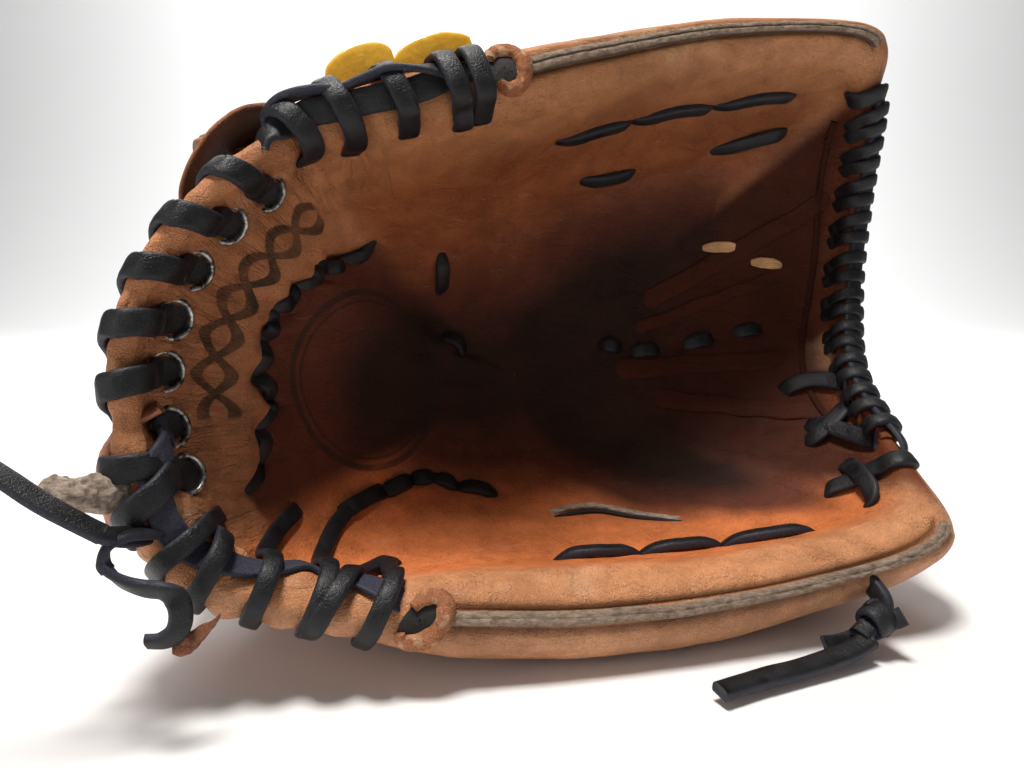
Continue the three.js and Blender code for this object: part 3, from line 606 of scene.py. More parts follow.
def lace_leather():
    """Black lace: smooth and a little glossy on top, bluish suede underneath and at its edges."""
    g = Graph("lace")
    broad, fine = g.noise(160, 5, 0.65), g.noise(1500, 3, 0.7)
    top = g.mix(g.ramp(broad, 0.35, 0.7), (0.0055, 0.0056, 0.0068), (0.016, 0.016, 0.019))
    suede = g.mix(g.ramp(fine, 0.3, 0.7), (0.016, 0.016, 0.028), (0.052, 0.053, 0.080))
    raw = g.math("MAXIMUM", g.math("MULTIPLY", g.attribute("edge"), 0.55), g.attribute("under"))
    rubbed = g.math("MULTIPLY", g.ramp(g.noise(300, 5, 0.75), 0.62, 0.72), 0.35)
    color = g.mix(rubbed, g.mix(raw, top, suede), (0.085, 0.078, 0.075))
    level = g.math("ADD", g.ramp(broad, 0.3, 0.7, 0.34, 0.52), g.math("MULTIPLY", raw, 0.35))
    layers = [(broad, 0.0010, 0.4), (g.ramp(g.cells(1100.0, g.where), 0, 0.2), 0.00012, 0.5),
        (fine, 0.00025, 0.5)]
    return g.finish(layers, Base_Color=color, Roughness=level, Specular_IOR_Level=0.28, Coat_Weight=0.06,
        Coat_Roughness=0.3)


def rawhide(name, dark, pale):
    """Fibrous raw leather, darker along the piece's ridges."""
    g = Graph(name)
    broad, fibre = g.noise(200, 6, 0.75), g.noise(900, 5, 0.8, (0.35, 1.0, 1.0))
    value = g.mix(g.ramp(broad, 0.3, 0.7), (0.7, 0.68, 0.66), (1.2, 1.2, 1.2))
    color = g.mix(1.0, g.mix(g.ramp(fibre, 0.32, 0.68), dark, pale), value, "MULTIPLY")
    color = g.mix(g.math("MULTIPLY", g.attribute("ridge"), 0.75), color, (0.05, 0.035, 0.028))
    return g.finish([(broad, 0.0012, 0.7), (fibre, 0.0007, 0.9)], Base_Color=color, Roughness=0.93,
        Specular_IOR_Level=0.2)


def metal(name, color, rough):
    """Bright metal, worn dark in spots."""
    g = Graph(name)
    spots = g.noise(420, 5, 0.7)
    worn = g.mix(g.ramp(spots, 0.40, 0.62), (0.04, 0.035, 0.03), color)
    return g.finish([(spots, 0.0003, 0.4)], Base_Color=worn, Metallic=0.95,
        Roughness=g.ramp(spots, 0.3, 0.7, rough + 0.25, rough))


def painted_shade_material():
    """Painted shade: the near-black, fuzzy-bumped surface that stands for the dark at the bottom of an eyelet
    or a slot.
    """
    g = Graph("painted_shade_fuzz")
    fuzz = g.noise(700, 4, 0.7)
    return g.finish([(fuzz, 0.0008, 0.8)], Base_Color=g.mix(fuzz, (0.002, 0.002, 0.002),
        (0.02, 0.016, 0.014)), Roughness=0.8)


def badge_gold():
    """The badge's glossy, slightly uneven gold."""
    g = Graph("badge_gold")
    cloud, grainy = g.noise(90, 4, 0.6), g.noise(700, 3, 0.6)
    return g.finish([(cloud, 0.0015, 0.4), (grainy, 0.0002, 0.4)], Base_Color=g.mix(g.ramp(cloud, 0.3, 0.7),
        (0.72, 0.33, 0.015), (0.92, 0.52, 0.05)), Roughness=g.ramp(grainy, 0.3, 0.7, 0.24, 0.40),
        Coat_Weight=0.5, Coat_Roughness=0.15)


SKIN = leather("mitt_leather", rough=0.46, marked=True)
LINING = leather("hand_lining", rough=0.75, grain=0.6, wear=0.3, coat=0.0)
STRAP_LEATHER = leather("strap_leather", rough=0.55, coat=0.04)
ROLL_LEATHER = leather("rolled_leather", rough=0.7, grain=1.2, wear=0.9, coat=0.0)
LACE = lace_leather()
WELT = rawhide("welt_rawhide", (0.15, 0.098, 0.066), (0.44, 0.34, 0.26))
STUB = rawhide("stub_rawhide", (0.17, 0.12, 0.09), (0.56, 0.46, 0.37))
THREAD = rawhide("thread", (0.30, 0.22, 0.15), (0.62, 0.50, 0.38))
NICKEL = metal("eyelet_nickel", (0.62, 0.60, 0.57), 0.28)
PAINTED_SHADE = painted_shade_material()
GOLD = badge_gold()

# ---- free lace ends
# Their routes are the CAD's, in mm over the plane the mitt lies on, before the mitt is moved to its place.
LONG_TAIL = [(-113, -98, 56), (-118, -100, 60), (-125, -102, 65.5), (-133, -103, 72), (-143, -104, 79),
    (-152, -104.5, 84)]
CORNER_LOOP = [(-113.2, -98, 49), (-111.9, -98, 46.9), (-108.7, -97.5, 44), (-104.5, -97, 42.2),
    (-99.9, -97, 41.5), (-96.6, -97, 39.2), (-95.9, -97, 35), (-96.9, -97.5, 31.4), (-100, -98, 29.3),
    (-103.9, -98.5, 29.3)]
KNOT_TAIL = [(94, -54, 7.5), (86, -58, 5.5), (70, -65, 4.2), (56, -71, 4.2), (42, -78, 4.2)]


def lying(rows):
    """Points over the plane the mitt lies on, in the row frame and metres."""
    return (np.asarray(rows, float) + [0, 0, LYING_PLANE] + MOVED) / 1000


def lying_lace(name, rows, ups, body, width, thick, seed):
    """A lace through points over the plane the mitt lies on. Returns it with its middle line in metres."""
    data = np.hstack([lying(rows) * 1000, ups])
    obj = lace(name, data, LACE, body, width, thick, 8, seed, row_space=True)
    return obj, catmull(data, 8)[:, :3] / 1000


def free_lace(name, node_name, rows, ups, body, width, thick, seed):
    """A stiff lace end that hangs or lies free."""
    obj, path = lying_lace(name, rows, ups, body, width, thick, seed)
    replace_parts(obj, node_name)


FLAT = (0.1, -0.3, 0.95)
free_lace("long_tail_lace", "tail_long", LONG_TAIL, [(0.5, -0.14, 0.85)] * 6, "palm", 6.6, 2.5, 1)
free_lace("corner_loop_lace", "tail_loop", CORNER_LOOP, [(-0.9, -0.25, -0.35), (-0.8, -0.45, -0.4),
    (-0.5, -0.7, -0.5), (-0.25, -0.8, -0.5), (0.1, -0.8, -0.5), (0.65, -0.7, -0.2), (0.7, -0.7, 0.1),
    (0.45, -0.75, -0.4), (0, -0.75, -0.6), (0, -0.7, -0.7)], "palm", 5.8, 2.5, 2)
free_lace("knot_tail_lace", "tail_knot", KNOT_TAIL, [FLAT, FLAT, FLAT, (0, -0.25, 0.97), (0, -0.2, 0.98)],
    "finger_side", 6.2, 3.4, 3)
# the same laces where they come out from behind the heel
lying_lace("long_tail_root", [(-107, -72, 50), (-109.5, -82, 51), (-111, -91, 53), (-113, -98, 56),
    (-118, -100, 60)], [(0.9, -0.1, 0.4), (0.9, -0.1, 0.4), (0.75, -0.12, 0.65), (0.5, -0.14, 0.85),
    (0.5, -0.14, 0.85)], "palm", 6.0, 2.4, seed=4)
lying_lace("corner_loop_root", [(-104, -72, 49), (-106.5, -83, 51.5), (-109.8, -92.5, 53.6),
    (-112.4, -97, 52.6), (-113.2, -98, 49), (-112.2, -98, 47)], [(0.3, -0.2, 0.9), (0.2, -0.2, 0.95),
    (-0.2, -0.3, 0.9), (-0.7, -0.3, 0.6), (-0.9, -0.25, -0.35), (-0.85, -0.25, -0.5)], "palm", 5.6, 2.4,
    seed=5)


# ---- colours
def srgb(r, g, b):
    """A colour of 0 to 255 as the linear one that materials take."""
    c = np.array([r, g, b]) / 255
    return np.where(c < 0.04045, c / 12.92, ((c + 0.055) / 1.055) ** 2.4)


RIM_TAN = srgb(204, 150, 114)
LOW_RIM = srgb(208, 148, 106)
HEEL_TAN = srgb(188, 130, 92)
WALL_ORANGE = srgb(212, 124, 74)
# painted shade: the upper wall and its rim are painted darker, for the shade they lie in
HIGH_WALL_SHADED = srgb(150, 90, 54)
HIGH_RIM_SHADED = srgb(182, 128, 88)
PALM_BROWN = srgb(100, 55, 40)
# the pocket's dark oiled leather, painted darker still as the pocket's shade
POCKET_DARK_AND_SHADE = srgb(52, 36, 30)
WEB_BROWN = srgb(74, 37, 23)
BACK_TAN = srgb(196, 138, 96)


def mixed(a, b, t):
    """A colour for each share t of the way from a to b."""
    return a + (b - a) * np.asarray(t)[..., None]


def skin_colour(at, distance, p):
    """Colour of the leather, with painted light on the lower wall and painted shade in the pocket and on the
    upper wall: negative distances are on the pocket's side.
    """
    at, d = np.broadcast_arrays(np.mod(at, LAP), -np.asarray(distance, float))
    wander = 7 * noise(p, 28, 21) + 3 * noise(p, 11, 22)
    seam = seam_distance(at)
    heel = mixed(HEEL_TAN, PALM_BROWN, smooth(d - seam, -1.2, 1.6))
    # each part grades darker towards the pocket's floor: the pocket's dark leather, deepened by painted shade
    heel = mixed(heel, POCKET_DARK_AND_SHADE, smooth(d + wander, 74, 118))
    short = 26 * smooth(at, 8.2, 9.4) + 30 * smooth(at, 9.3, 10.3)
    # painted light: the lower wall's orange is a quarter brighter up to 6 along the rim, fading out by 7.5
    lit_wall_orange = WALL_ORANGE * (1.25 - 0.25 * smooth(at, 6.0, 7.5))[..., None]
    low = mixed(LOW_RIM, lit_wall_orange, smooth(d + 0.8 * wander, 10, 34))
    low = mixed(low, PALM_BROWN, smooth(d + 0.7 * wander + short, 88, 114))
    low = mixed(low, POCKET_DARK_AND_SHADE, smooth(d + 0.7 * wander + short, 108, 146))
    # the upper wall: its tan is darkened as painted shade
    high = mixed(HIGH_RIM_SHADED, HIGH_WALL_SHADED, smooth(d + wander, 18, 54))
    high = mixed(high, PALM_BROWN, smooth(d + wander, 66, 104))
    high = mixed(high, POCKET_DARK_AND_SHADE, smooth(d + wander, 96, 140))
    web = mixed(srgb(116, 64, 40), WEB_BROWN, smooth(d + 0.6 * wander, 6, 24))
    web = mixed(web, POCKET_DARK_AND_SHADE, smooth(d + wander, 60, 120))
    colour = mixed(heel, low, smooth(at, 4.75, 5.35) * (1 - smooth(at, 10.35, 10.9)))
    colour = mixed(colour, web, smooth(at, 10.35, 10.9) * (1 - smooth(at, 15.2, 15.9)))
    colour = mixed(colour, high, smooth(at, 15.2, 15.9))
    colour = mixed(colour, heel, smooth(at, 20.3, 20.95))
    # the crest on the thumb's side takes the upper rim's darker tan, which is painted shade
    crest = mixed(RIM_TAN, HIGH_RIM_SHADED, smooth(at, 15.0, 15.9) * (1 - smooth(at, 20.2, 20.9)))
    back = mixed(crest, BACK_TAN, smooth(-d + wander, 8, 40))
    colour = np.where((d < 0)[..., None], back, colour)
    worn = smooth(noise(p, 19, 23) + 0.5 * noise(p, 6, 24), 0.25, 0.9) * (1 - smooth(np.abs(d), 6, 26))
    colour = mixed(colour, srgb(222, 182, 146), 0.5 * worn)
    # painted shade: a dark band in the groove beside each welt
    for low, high in WELTS.values():
        shade_beside = np.exp(-(((np.abs(d) - 2.9) / 0.8) ** 2)) * window(at, low, high, 0.1)
        colour = mixed(colour, srgb(62, 36, 24), 0.75 * shade_beside)
    return colour


# ---- the leather shells
# The halves part along these two places on the rim.
HEEL_RAY, WEB_RAY = 3.333, 13.0
# The wrist opening, cut from the back: its lowest and highest corners in the mitt's frame.
OPENING = np.array([[-np.inf, 28, -62], [-48, np.inf, 56]])
RING_AT, RING_DISTANCE = 3.04, -107.5


def in_opening(p):
    """Whether points are inside the box that the wrist opening is cut by."""
    return ((p > OPENING[0]) & (p < OPENING[1])).all(-1)


def bend_over_fold(obj, side):
    """Bakes a piece's placement into its points."""
    if side == "finger":
        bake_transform(obj)
    else:
        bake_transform(obj)


def columns(side, per_step):
    """Even places along a half's rim, as a column."""
    low, high = (HEEL_RAY, WEB_RAY) if side == "finger" else (WEB_RAY, HEEL_RAY + LAP)
    return np.linspace(low, high, round((high - low) * per_step) + 1)[:, None]


def without(faces, cut):
    """The faces that don't lie wholly in what is cut away."""
    cut = cut.ravel()
    return [f for f in faces if not all(cut[list(f)])]


def eyelet_pits(at, distance):
    """How deep the leather is sunk for the eyelets' wells."""
    near = (np.hypot(apart(at, a) * HEEL_STEP, distance + inset) for a, inset in EYELETS)
    return sum(6.5 * (1 - smooth(away, 3.4, 4.9)) for away in near)


def outer_shell(side):
    """One half of the mitt's leather, from the pocket's floor over the rim to the back's middle."""
    at = columns(side, 30 if side == "finger" else 27)
    share = np.concatenate([np.linspace(-0.999, 0, 160), np.linspace(0, 0.997, 130)[1:]])[None, :]
    at, distance = np.broadcast_arrays(at, np.where(share < 0, share * longest(at),
        share * longest(at, False)))
    sides = side_at(at, distance)
    bare = skin(at, sides)
    lift = relief(at, -distance, bare) - eyelet_pits(np.mod(at, LAP), distance)
    p = bare + normal(at, sides) * lift[..., None]
    # nothing hangs below the plane the mitt lies on
    under = np.maximum(LYING_PLANE + 0.4 - (p @ LIE.T)[..., 2], 0) * (distance > 0)
    p = p + under[..., None] * LIE[2]
    faces = without(grid_faces(*p.shape[:2]), (distance > 0) & in_opening(bare))
    obj = new_object(f"{side}_half_leather", to_row(p), faces, SKIN)
    ring_centre = skin(RING_AT, side_at(RING_AT, RING_DISTANCE))
    paint(obj, "paint", skin_colour(at, distance, bare).reshape(-1, 3))
    paint(obj, "along", (np.mod(at + 1, LAP) - 1).ravel())
    paint(obj, "inward", -distance.ravel())
    paint(obj, "ring", np.linalg.norm(bare - ring_centre, axis=-1).ravel())
    remove_loose(obj)
    bend_over_fold(obj, side)
    return obj


def remove_loose(obj):
    """Takes away the points that no face uses."""
    mesh = bmesh.new()
    mesh.from_mesh(obj.data)
    bmesh.ops.delete(mesh, geom=[v for v in mesh.verts if not v.link_faces], context="VERTS")
    mesh.to_mesh(obj.data)
    mesh.free()


def inner_sheet(side, name, share_of, colour, opened):
    """A sheet inside the mitt, at a share of the way from the pocket's leather to the back's."""
    at = columns(side, 12)
    r = np.linspace(0.004, 0.9, 60)[None, :]
    inner, outer = skin(at, r - 1), skin(at, 1 - r)
    share = share_of(np.linalg.norm(outer - inner, axis=-1), r)
    p = inner + (outer - inner) * share[..., None]
    p = p + 0.5 * noise(p, 15, 31)[..., None] * unit(outer - inner)
    faces = without(grid_faces(*p.shape[:2], flip=True), in_opening(outer) & opened)
    obj = new_object(name, to_row(p), faces, LINING)
    tone = np.broadcast_to(colour, p.shape) * (1 + 0.12 * noise(p, 21, 32)[..., None])
    paint(obj, "paint", tone.reshape(-1, 3))
    remove_loose(obj)
    bend_over_fold(obj, side)
    return obj


finger_half = outer_shell("finger")
thumb_half = outer_shell("thumb")
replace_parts(finger_half, "finger_palm_leather", "finger_back_leather", "palm_leather", "back_leather",
    "web_panel", "web_back_panel")
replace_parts(thumb_half, "thumb_palm_leather", "thumb_back_leather")


def felt_share(thick, r):
    """Where the felt ends: 13 mm and the leather's 2.6 mm behind the pocket, and more near the rim."""
    full = 13 + 2.6 + 80 * smooth(r, 0.72, 0.93)
    return np.maximum(np.minimum(full / thick, 1 - 3.2 / thick), 0.5)


for side in ("finger", "thumb"):
    lining = inner_sheet(side, f"{side}_half_lining", felt_share, srgb(178, 140, 104), False)
    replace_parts(lining, f"{side}_pad", *(["palm_pad"] if side == "finger" else []))
    inside = inner_sheet(side, f"{side}_half_back_inside", lambda thick, r: 1 - 2.4 / thick,
        srgb(150, 112, 80), True)


# ---- laces on the leather
def follow(obj, way):
    """Hangs a piece on the palm, or else bakes its placement into its points."""
    if way == "palm":
        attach(obj, "palm")
    else:
        bend_over_fold(obj, way)


def rolled_over(rows, turns):
    """Rows with their up turned about their run, by degrees given at even steps."""
    degrees = np.interp(np.linspace(0, 1, len(rows)), np.linspace(0, 1, len(turns)), turns)
    turn = np.radians(degrees)[:, None]
    tangent = unit(np.gradient(rows[:, :3], axis=0))
    up = rows[:, 3:6]
    return np.hstack([rows[:, :3], up * np.cos(turn) + np.cross(tangent, up) * np.sin(turn)])


def strand(name, stops, way, nodes, width, thick=2.3, turns=None, flip=False, taper=None, steps=7, seed=0,
        before=None, material=LACE):
    """A lace over the leather through stops of (at, distance, height), riding the palm when its way is the
    palm.
    """
    rows = over_skin(stops, steps)
    if before is not None:
        rows = np.vstack([catmull(np.vstack([before, rows[:2]]), 5)[:-6], rows])
    if turns:
        rows = rolled_over(rows, turns)
    if flip:
        rows[:, 3:6] *= -1
    obj = lace(name, rows, material, None, width, thick, 1, seed, taper)
    follow(obj, way)
    if nodes:
        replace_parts(obj, *nodes)
    return obj


# A stitch's share of its width along its run: narrow where it dives into its holes.
DIVE = ([0, 0.1, 0.3, 0.7, 0.9, 1], [0.45, 0.72, 1, 1, 0.72, 0.45])


def stitches(name, holes, way, nodes=(), bow=0.0, width=5.6, lift=1.5, thick=2.2, seed=0):
    """Short stitches between neighbouring holes, each bowed sideways over the leather."""
    for k, ((a, d), (b, e)) in enumerate(zip(holes, holes[1:])):
        stops = []
        for t in (-0.04, 0.05, 0.16, 0.32, 0.5, 0.68, 0.84, 0.95, 1.04):
            arch = math.sin(math.pi * min(max(t, 0), 1))
            stops.append((a + (b - a) * t, -(d + (e - d) * t) - bow * arch,
                -1.8 + (lift + 1.8) * arch**0.4))
        strand(f"{name}_{k + 1}", stops, way, nodes if k == 0 else (), width, thick, taper=DIVE, steps=4,
            seed=seed + k)


stitches("finger_rim_stitch", STITCHES["finger_rim"], "finger", ["finger_rim_lace"], bow=-3.0, width=7.0,
    lift=2.0, thick=3.2, seed=3)
stitches("thumb_rim_stitch", STITCHES["thumb_rim"], "thumb", ["thumb_rim_lace"], bow=-3.6, width=5.6,
    lift=1.2, thick=2.6, seed=9)
stitches("heel_scallop_stitch", STITCHES["heel_scallop"], "palm", ["heel_scallop_lace"], bow=3.0, width=5.2,
    lift=0.5, thick=2.0, seed=15)
stitches("palm_row_stitch", STITCHES["palm_row"], "finger", ["palm_row_lace"], bow=-1.2, width=6.4,
    lift=1.5, thick=2.8, seed=27)
stitches("thumb_join_stitch_high", STITCHES["thumb_join_high"], "thumb", [], bow=0, width=5.6, seed=33)
stitches("thumb_join_stitch_low", STITCHES["thumb_join_low"], "thumb", ["thumb_join_lace"], bow=0,
    width=6.6, seed=36)
for k in range(0, len(DASHES["pocket_dash"]), 2):
    stitches(f"pocket_stitch_{k // 2 + 1}", DASHES["pocket_dash"][k:k + 2], "palm",
        ["pocket_lace"] if k == 0 else [], width=6.4, seed=40 + k)
stitches("palm_stitch_high", DASHES["palm_dash_high"], "thumb", width=5.6, seed=50)
stitches("palm_stitch_low", DASHES["palm_dash_low"], "palm", width=5.6, seed=52)


# ---- the heel: binding, eyelets and laces
def rim_cap(name, low, high, half, thick, colour, seed=0):
    """A strip of leather folded over the rim's crest, with soft thick edges."""
    at = np.linspace(low, high, int((high - low) * 34))
    profile = [(-half - 0.3, -0.6), (-half, 0.35 * thick), (-half + 0.8, 0.85 * thick)]
    for x in np.linspace(-0.75, 0.75, 13):
        profile.append((x * half, thick * (1 + 0.10 * math.cos(math.pi * x / 1.6))))
    profile += [(half - 0.8, 0.85 * thick), (half, 0.35 * thick), (half + 0.3, -0.6)]
    over, height = np.array(profile).T
    a, d = np.broadcast_arrays(at[:, None], over[None, :])
    d = d + 0.7 * noise(np.stack([a * HEEL_STEP, a * 0, a * 0 + seed], -1), 9, 61) * np.sign(d)
    crinkle = 0.35 * noise(np.stack([a * HEEL_STEP, d * 0.35, a * 0], -1), 3.2, 62 + seed) * (height > 0.3)
    p = place(a, d, height + crinkle + 0.2 * noise(skin(a, side_at(a, d)), 7, 63))
    n, m = p.shape[:2]
    verts = np.concatenate([p.reshape(-1, 3), p[:1].mean(1), p[-1:].mean(1)])
    faces = grid_faces(n, m)
    faces += [(n * m, j + 1, j) for j in range(m - 1)]
    faces += [(n * m + 1, (n - 1) * m + j, (n - 1) * m + j + 1) for j in range(m - 1)]
    obj = new_object(name, to_row(verts), faces, STRAP_LEATHER, "palm")
    paint(obj, "paint", colour * (1 + 0.14 * noise(verts, 8, 64)[:, None]))
    return obj


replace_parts(rim_cap("heel_edge_binding", 0.02, 5.25, 5.2, 1.2, HEEL_TAN), "heel_binding")


def frame_on(at, distance, height):
    """A point on the leather, with its outward direction and the direction to the crest."""
    origin = place(at, distance, height)
    up = normal(at, side_at(at, distance))
    to_crest = place(at, distance + 0.6 * np.sign(-distance), 0, False) - place(at, distance, 0, False)
    to_crest = unit(to_crest - up * to_crest.dot(up))
    return origin, up, to_crest


def lathe(name, outline, origin, up, side, material, segments):
    """A piece turned round up, from an outline of (radius, height)."""
    turn = 2 * np.pi * np.arange(segments)[:, None] / segments
    out = (side * np.cos(turn) + np.cross(up, side) * np.sin(turn))[:, None]
    radius, height = np.array(outline).T[..., None]
    faces = grid_faces(segments, len(outline), close_n=True)
    obj = new_object(name, to_row(origin + out * radius + up * height), faces, material, "palm")
    return obj


EYELET_RING = [(4.7, -3.4), (4.7, 0.7), (4.9, 1.25), (5.35, 1.6), (5.9, 1.5), (6.4, 0.95), (6.65, 0.3),
    (6.6, -0.8)]
EYELET_WELL = [(4.71, -0.1), (4.6, -0.5), (3.0, -1.0), (1.2, -1.3), (0.05, -1.3)]
# Where each heel lace reaches the back. The sixth turns along the edge instead.
CROSSINGS = [0.80, 1.48, 2.12, 2.74, 3.38, None, 4.16]
SIXTH_EYELET = 3.82
# The heel laces' distances and heights as they cross the crest.
OVER_HEEL = [(-8, 2.3), (-5, 2.6), (-2.5, 2.6), (0, 2.6), (2.5, 2.6), (5, 2.5), (7.5, 1.9), (10, 1.4),
    (14, 1.2), (17, 0.3), (19, -2.5)]
for i, (a, inset) in enumerate(EYELETS):
    origin, up, to_crest = frame_on(SIXTH_EYELET if CROSSINGS[i] is None else a, -inset, 1.9)
    up = unit(up + 0.45 * LIE.T @ np.array([0, -1.0, 0]))
    to_crest = unit(to_crest - up * to_crest.dot(up))
    ring = lathe(f"heel_eyelet_ring_{i + 1}", EYELET_RING, origin, up, to_crest, NICKEL, 48)
    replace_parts(ring, f"heel_eyelet_{i + 1}")
    # a near-black disc at the bottom of each eyelet: painted shade
    lathe(f"heel_eyelet_well_{i + 1}", EYELET_WELL, origin, up, to_crest, PAINTED_SHADE, 32)
    start = np.array([
        [*(origin - up * 4.0 + to_crest * 0.9), *(-to_crest)],
        [*(origin - up * 1.0 + to_crest * 1.2), *(-to_crest + 0.15 * up)],
        [*(origin + up * 1.5 + to_crest * 2.2), *(-to_crest + 0.7 * up)],
        [*(origin + up * 3.0 + to_crest * 4.2), *(-0.6 * to_crest + up)],
    ])
    if CROSSINGS[i] is None:
        stops = [(3.92, -15, 2.0), (4.06, -9, 2.6), (4.24, -5, 2.6), (4.58, -2.5, 2.4), (4.8, -3, 2.2),
            (5.0, -4.5, 1.4), (5.2, -6.5, 1.3), (5.44, -9.5, 1.3), (5.66, -13, 1.3), (5.9, -15, 1.3),
            (6.2, -12, 1.3), (6.5, -7.5, 1.0), (6.62, -6, -1.5)]
        strand("heel_lace_6_edge_run", stops, "finger", ["heel_lace_6", "finger_edge_lace"], 7.6, 2.3,
            flip=True, before=start, seed=i, taper=([0, 0.04, 0.1, 1], [0.62, 0.75, 1, 1]))
        continue
    slant = (CROSSINGS[i] - a) / inset
    crossing = [(-inset + 7.6, 2.9), (-inset + 10, 2.1), *OVER_HEEL]
    stops = [(a + slant * (inset + d), d, h) for d, h in crossing]
    strand(f"heel_lace_{i + 1}_loop", stops, "palm", [f"heel_lace_{i + 1}"], 7.4, 2.3, before=start, seed=i,
        taper=([0, 0.06, 0.16, 0.94, 1], [0.68, 0.8, 1, 1, 0.7]))
strand("heel_lace_7_second", [(4.2, -15, -1), (4.24, -12, 1.6), (4.3, -8, 4.2), (4.38, -4, 5.0),
    (4.44, 0, 4.4), (4.5, 4, 3.6), (4.56, 8, 2.4), (4.6, 14, 1.2), (4.62, 18, -2)], "palm", (), 7.4, 2.3,
    seed=8)

# ---- loops over the finger side's rim
strand("corner_lace_1", [(4.70, -29, -2), (4.71, -26.5, 1.2), (4.74, -20, 2.2), (4.77, -12, 3.8),
    (4.8, -6, 5.0), (4.84, 0, 4.6), (4.88, 5, 2.6), (4.92, 11, 1.4), (4.94, 16, 0.6), (4.95, 19, -2.5)],
    "palm", ["corner_loop_1"], 5.5, seed=61)
strand("corner_lace_2", [(4.78, -26, -2), (4.8, -23.5, 1.3), (4.87, -17, 2.0), (4.96, -10, 3.9),
    (5.08, -5, 4.9), (5.18, 0, 3.8), (5.24, 6, 2.0), (5.26, 12, 1.4), (5.27, 17, -2.4)], "palm",
    ["corner_loop_2"], 5.5, seed=62)
strand("finger_lace_1", [(5.03, -58, -2.2), (5.05, -54.5, 1.4), (5.12, -44, 1.7), (5.24, -32, 1.8),
    (5.32, -24, 2.6), (5.44, -14, 4.0), (5.53, -7, 4.2), (5.62, 0, 2.6), (5.67, 6, 1.6), (5.7, 13, 1.3),
    (5.71, 18, -2.4)], "finger", ["finger_loop_1"], 5.5, seed=63)
strand("finger_lace_2", [(5.5, -72, -2.0), (5.5, -69, 1.3), (5.58, -57, 1.6), (5.72, -43, 1.9),
    (5.82, -30, 2.4), (5.9, -19, 4.2), (5.98, -9, 4.2), (6.06, 0, 2.6), (6.1, 7, 1.6), (6.12, 14, 1.2),
    (6.13, 18, -2.4)], "finger", ["finger_loop_2"], 5.5, seed=64)
strand("finger_lace_2_up", [(5.5, -66, -1.8), (5.5, -69, 1.6), (5.56, -77, 1.8), (5.64, -84, 1.4),
    (5.68, -87, -2)], "finger", (), 6.2, seed=65)
strand("finger_lace_3", [(6.5, -47, -2.2), (6.46, -44, 1.6), (6.38, -37, 2.4), (6.28, -29, 2.3),
    (6.2, -20, 2.4), (6.14, -12, 4.0), (6.12, -5, 3.9), (6.12, 0, 3.2), (6.12, 7, 1.9), (6.12, 14, 0.6),
    (6.12, 18, -2.4)], "finger", (), 5.5, seed=66)
strand("finger_lace_4", [(6.44, -42, -2.0), (6.45, -38.5, 1.8), (6.47, -30, 2.2), (6.49, -20, 2.0),
    (6.51, -10, 3.6), (6.52, 0, 3.0), (6.54, 7, 1.7), (6.55, 13, 1.3), (6.56, 18, -2.4)], "finger",
    ["finger_loop_3"], 5.5, seed=67)

# ---- loops over the thumb side's rim
strand("thumb_edge_run", [(0.3, 1, -1.6), (0.18, 0.6, 1.2), (0.0, 0.3, 1.6), (-0.3, 0, 1.6),
    (-0.7, -0.5, 1.7), (-1.1, -1, 1.7), (-1.5, -0.5, 1.7), (-1.75, 1.5, 1.4), (-1.95, 3, -1.2)], "thumb",
    ["thumb_edge_lace"], 8.0, 2.3, turns=[0, 10, 24, 30, 24, 14, 4], seed=70)
strand("thumb_edge_arch", [(0.0, 6, -0.5), (-0.08, 5.5, 2.2), (-0.25, 4.2, 4.8), (-0.5, 3.4, 5.4),
    (-0.75, 3.4, 3.4), (-1.0, 3.6, 4.4), (-1.3, 3.8, 5.2), (-1.6, 3.4, 3.2), (-1.8, 3, 0.5)], "thumb", (),
    7.2, 2.3, turns=[0, -30, -55, -60, -50, -60, -30, 0], seed=71)
# Where each loop starts, how far into the pocket, and where it crosses the rim.
UPPER_LOOPS = [(20.95, -18, 20.84), (20.44, -18, 20.3), (19.84, -14, 19.76), (19.28, -14, 19.26),
    (19.08, -14, 19.04)]
for k, (a, d, b) in enumerate(UPPER_LOOPS):
    stops = [(a, d - 2.5, -2.2), (a, d, 1.4), (a + (b - a) * 0.4, d * 0.6, 2.8),
        (a + (b - a) * 0.75, -5, 5.0), (b, 0, 5.4), (b - 0.02, 5, 5.2), (b - 0.04, 9, 3.0),
        (b - 0.05, 14, 1.2), (b - 0.05, 18, -2.4)]
    strand(f"thumb_lace_{k + 1}", stops, "thumb", [f"thumb_loop_{5 - k}"], 6.8, 2.3, seed=72 + k)


# ---- welts and rolled ends
def welt_strip(side):
    """A raw leather strip let in along a wall's rim, split down its middle on the thumb's side."""
    low, high = WELTS[side]
    at = np.linspace(low, high, int((high - low) * 90))
    dip, narrow, split = (0.9, 0.8, 0.0) if side == "finger" else (0.45, 1.0, 1.0)
    outline = [(-2.5, -1.6), (-2.5, 0.3), (-2.2, 0.85), (-1.3, 1.15), (-0.45, 1.1), (0, dip), (0.45, 1.1),
        (1.3, 1.15), (2.2, 0.85), (2.5, 0.3), (2.5, -1.6)]
    fine = np.linspace(-2.5, 2.5, 25)
    heights = np.interp(fine, *zip(*outline[1:-1]))
    across, height = np.array([outline[0], *zip(fine, heights), outline[-1]]).T
    across = across * narrow
    a, d = np.broadcast_arrays(at[:, None], across[None, :])
    spot = np.stack([a * 30, d, a * 0], -1)
    sides = side_at(a, d + 0.5 * noise(np.stack([a * 45, a * 0, a * 0], -1), 14, 83))
    height = height + 0.30 * noise(spot, 1.9, 81) + 0.2 * noise(spot, 0.8, 82) + 0.5
    p = skin(a, sides) + normal(a, sides) * height[..., None]
    obj = new_object(f"{side}_welt_strip", to_row(p), grid_faces(*a.shape), WELT)
    ridge = split * bump(across, 0, 0.35) + bump(np.abs(across), 2.5, 0.3)
    paint(obj, "ridge", np.broadcast_to(ridge, a.shape).ravel())
    follow(obj, side)
    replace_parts(obj, f"{side}_welt")


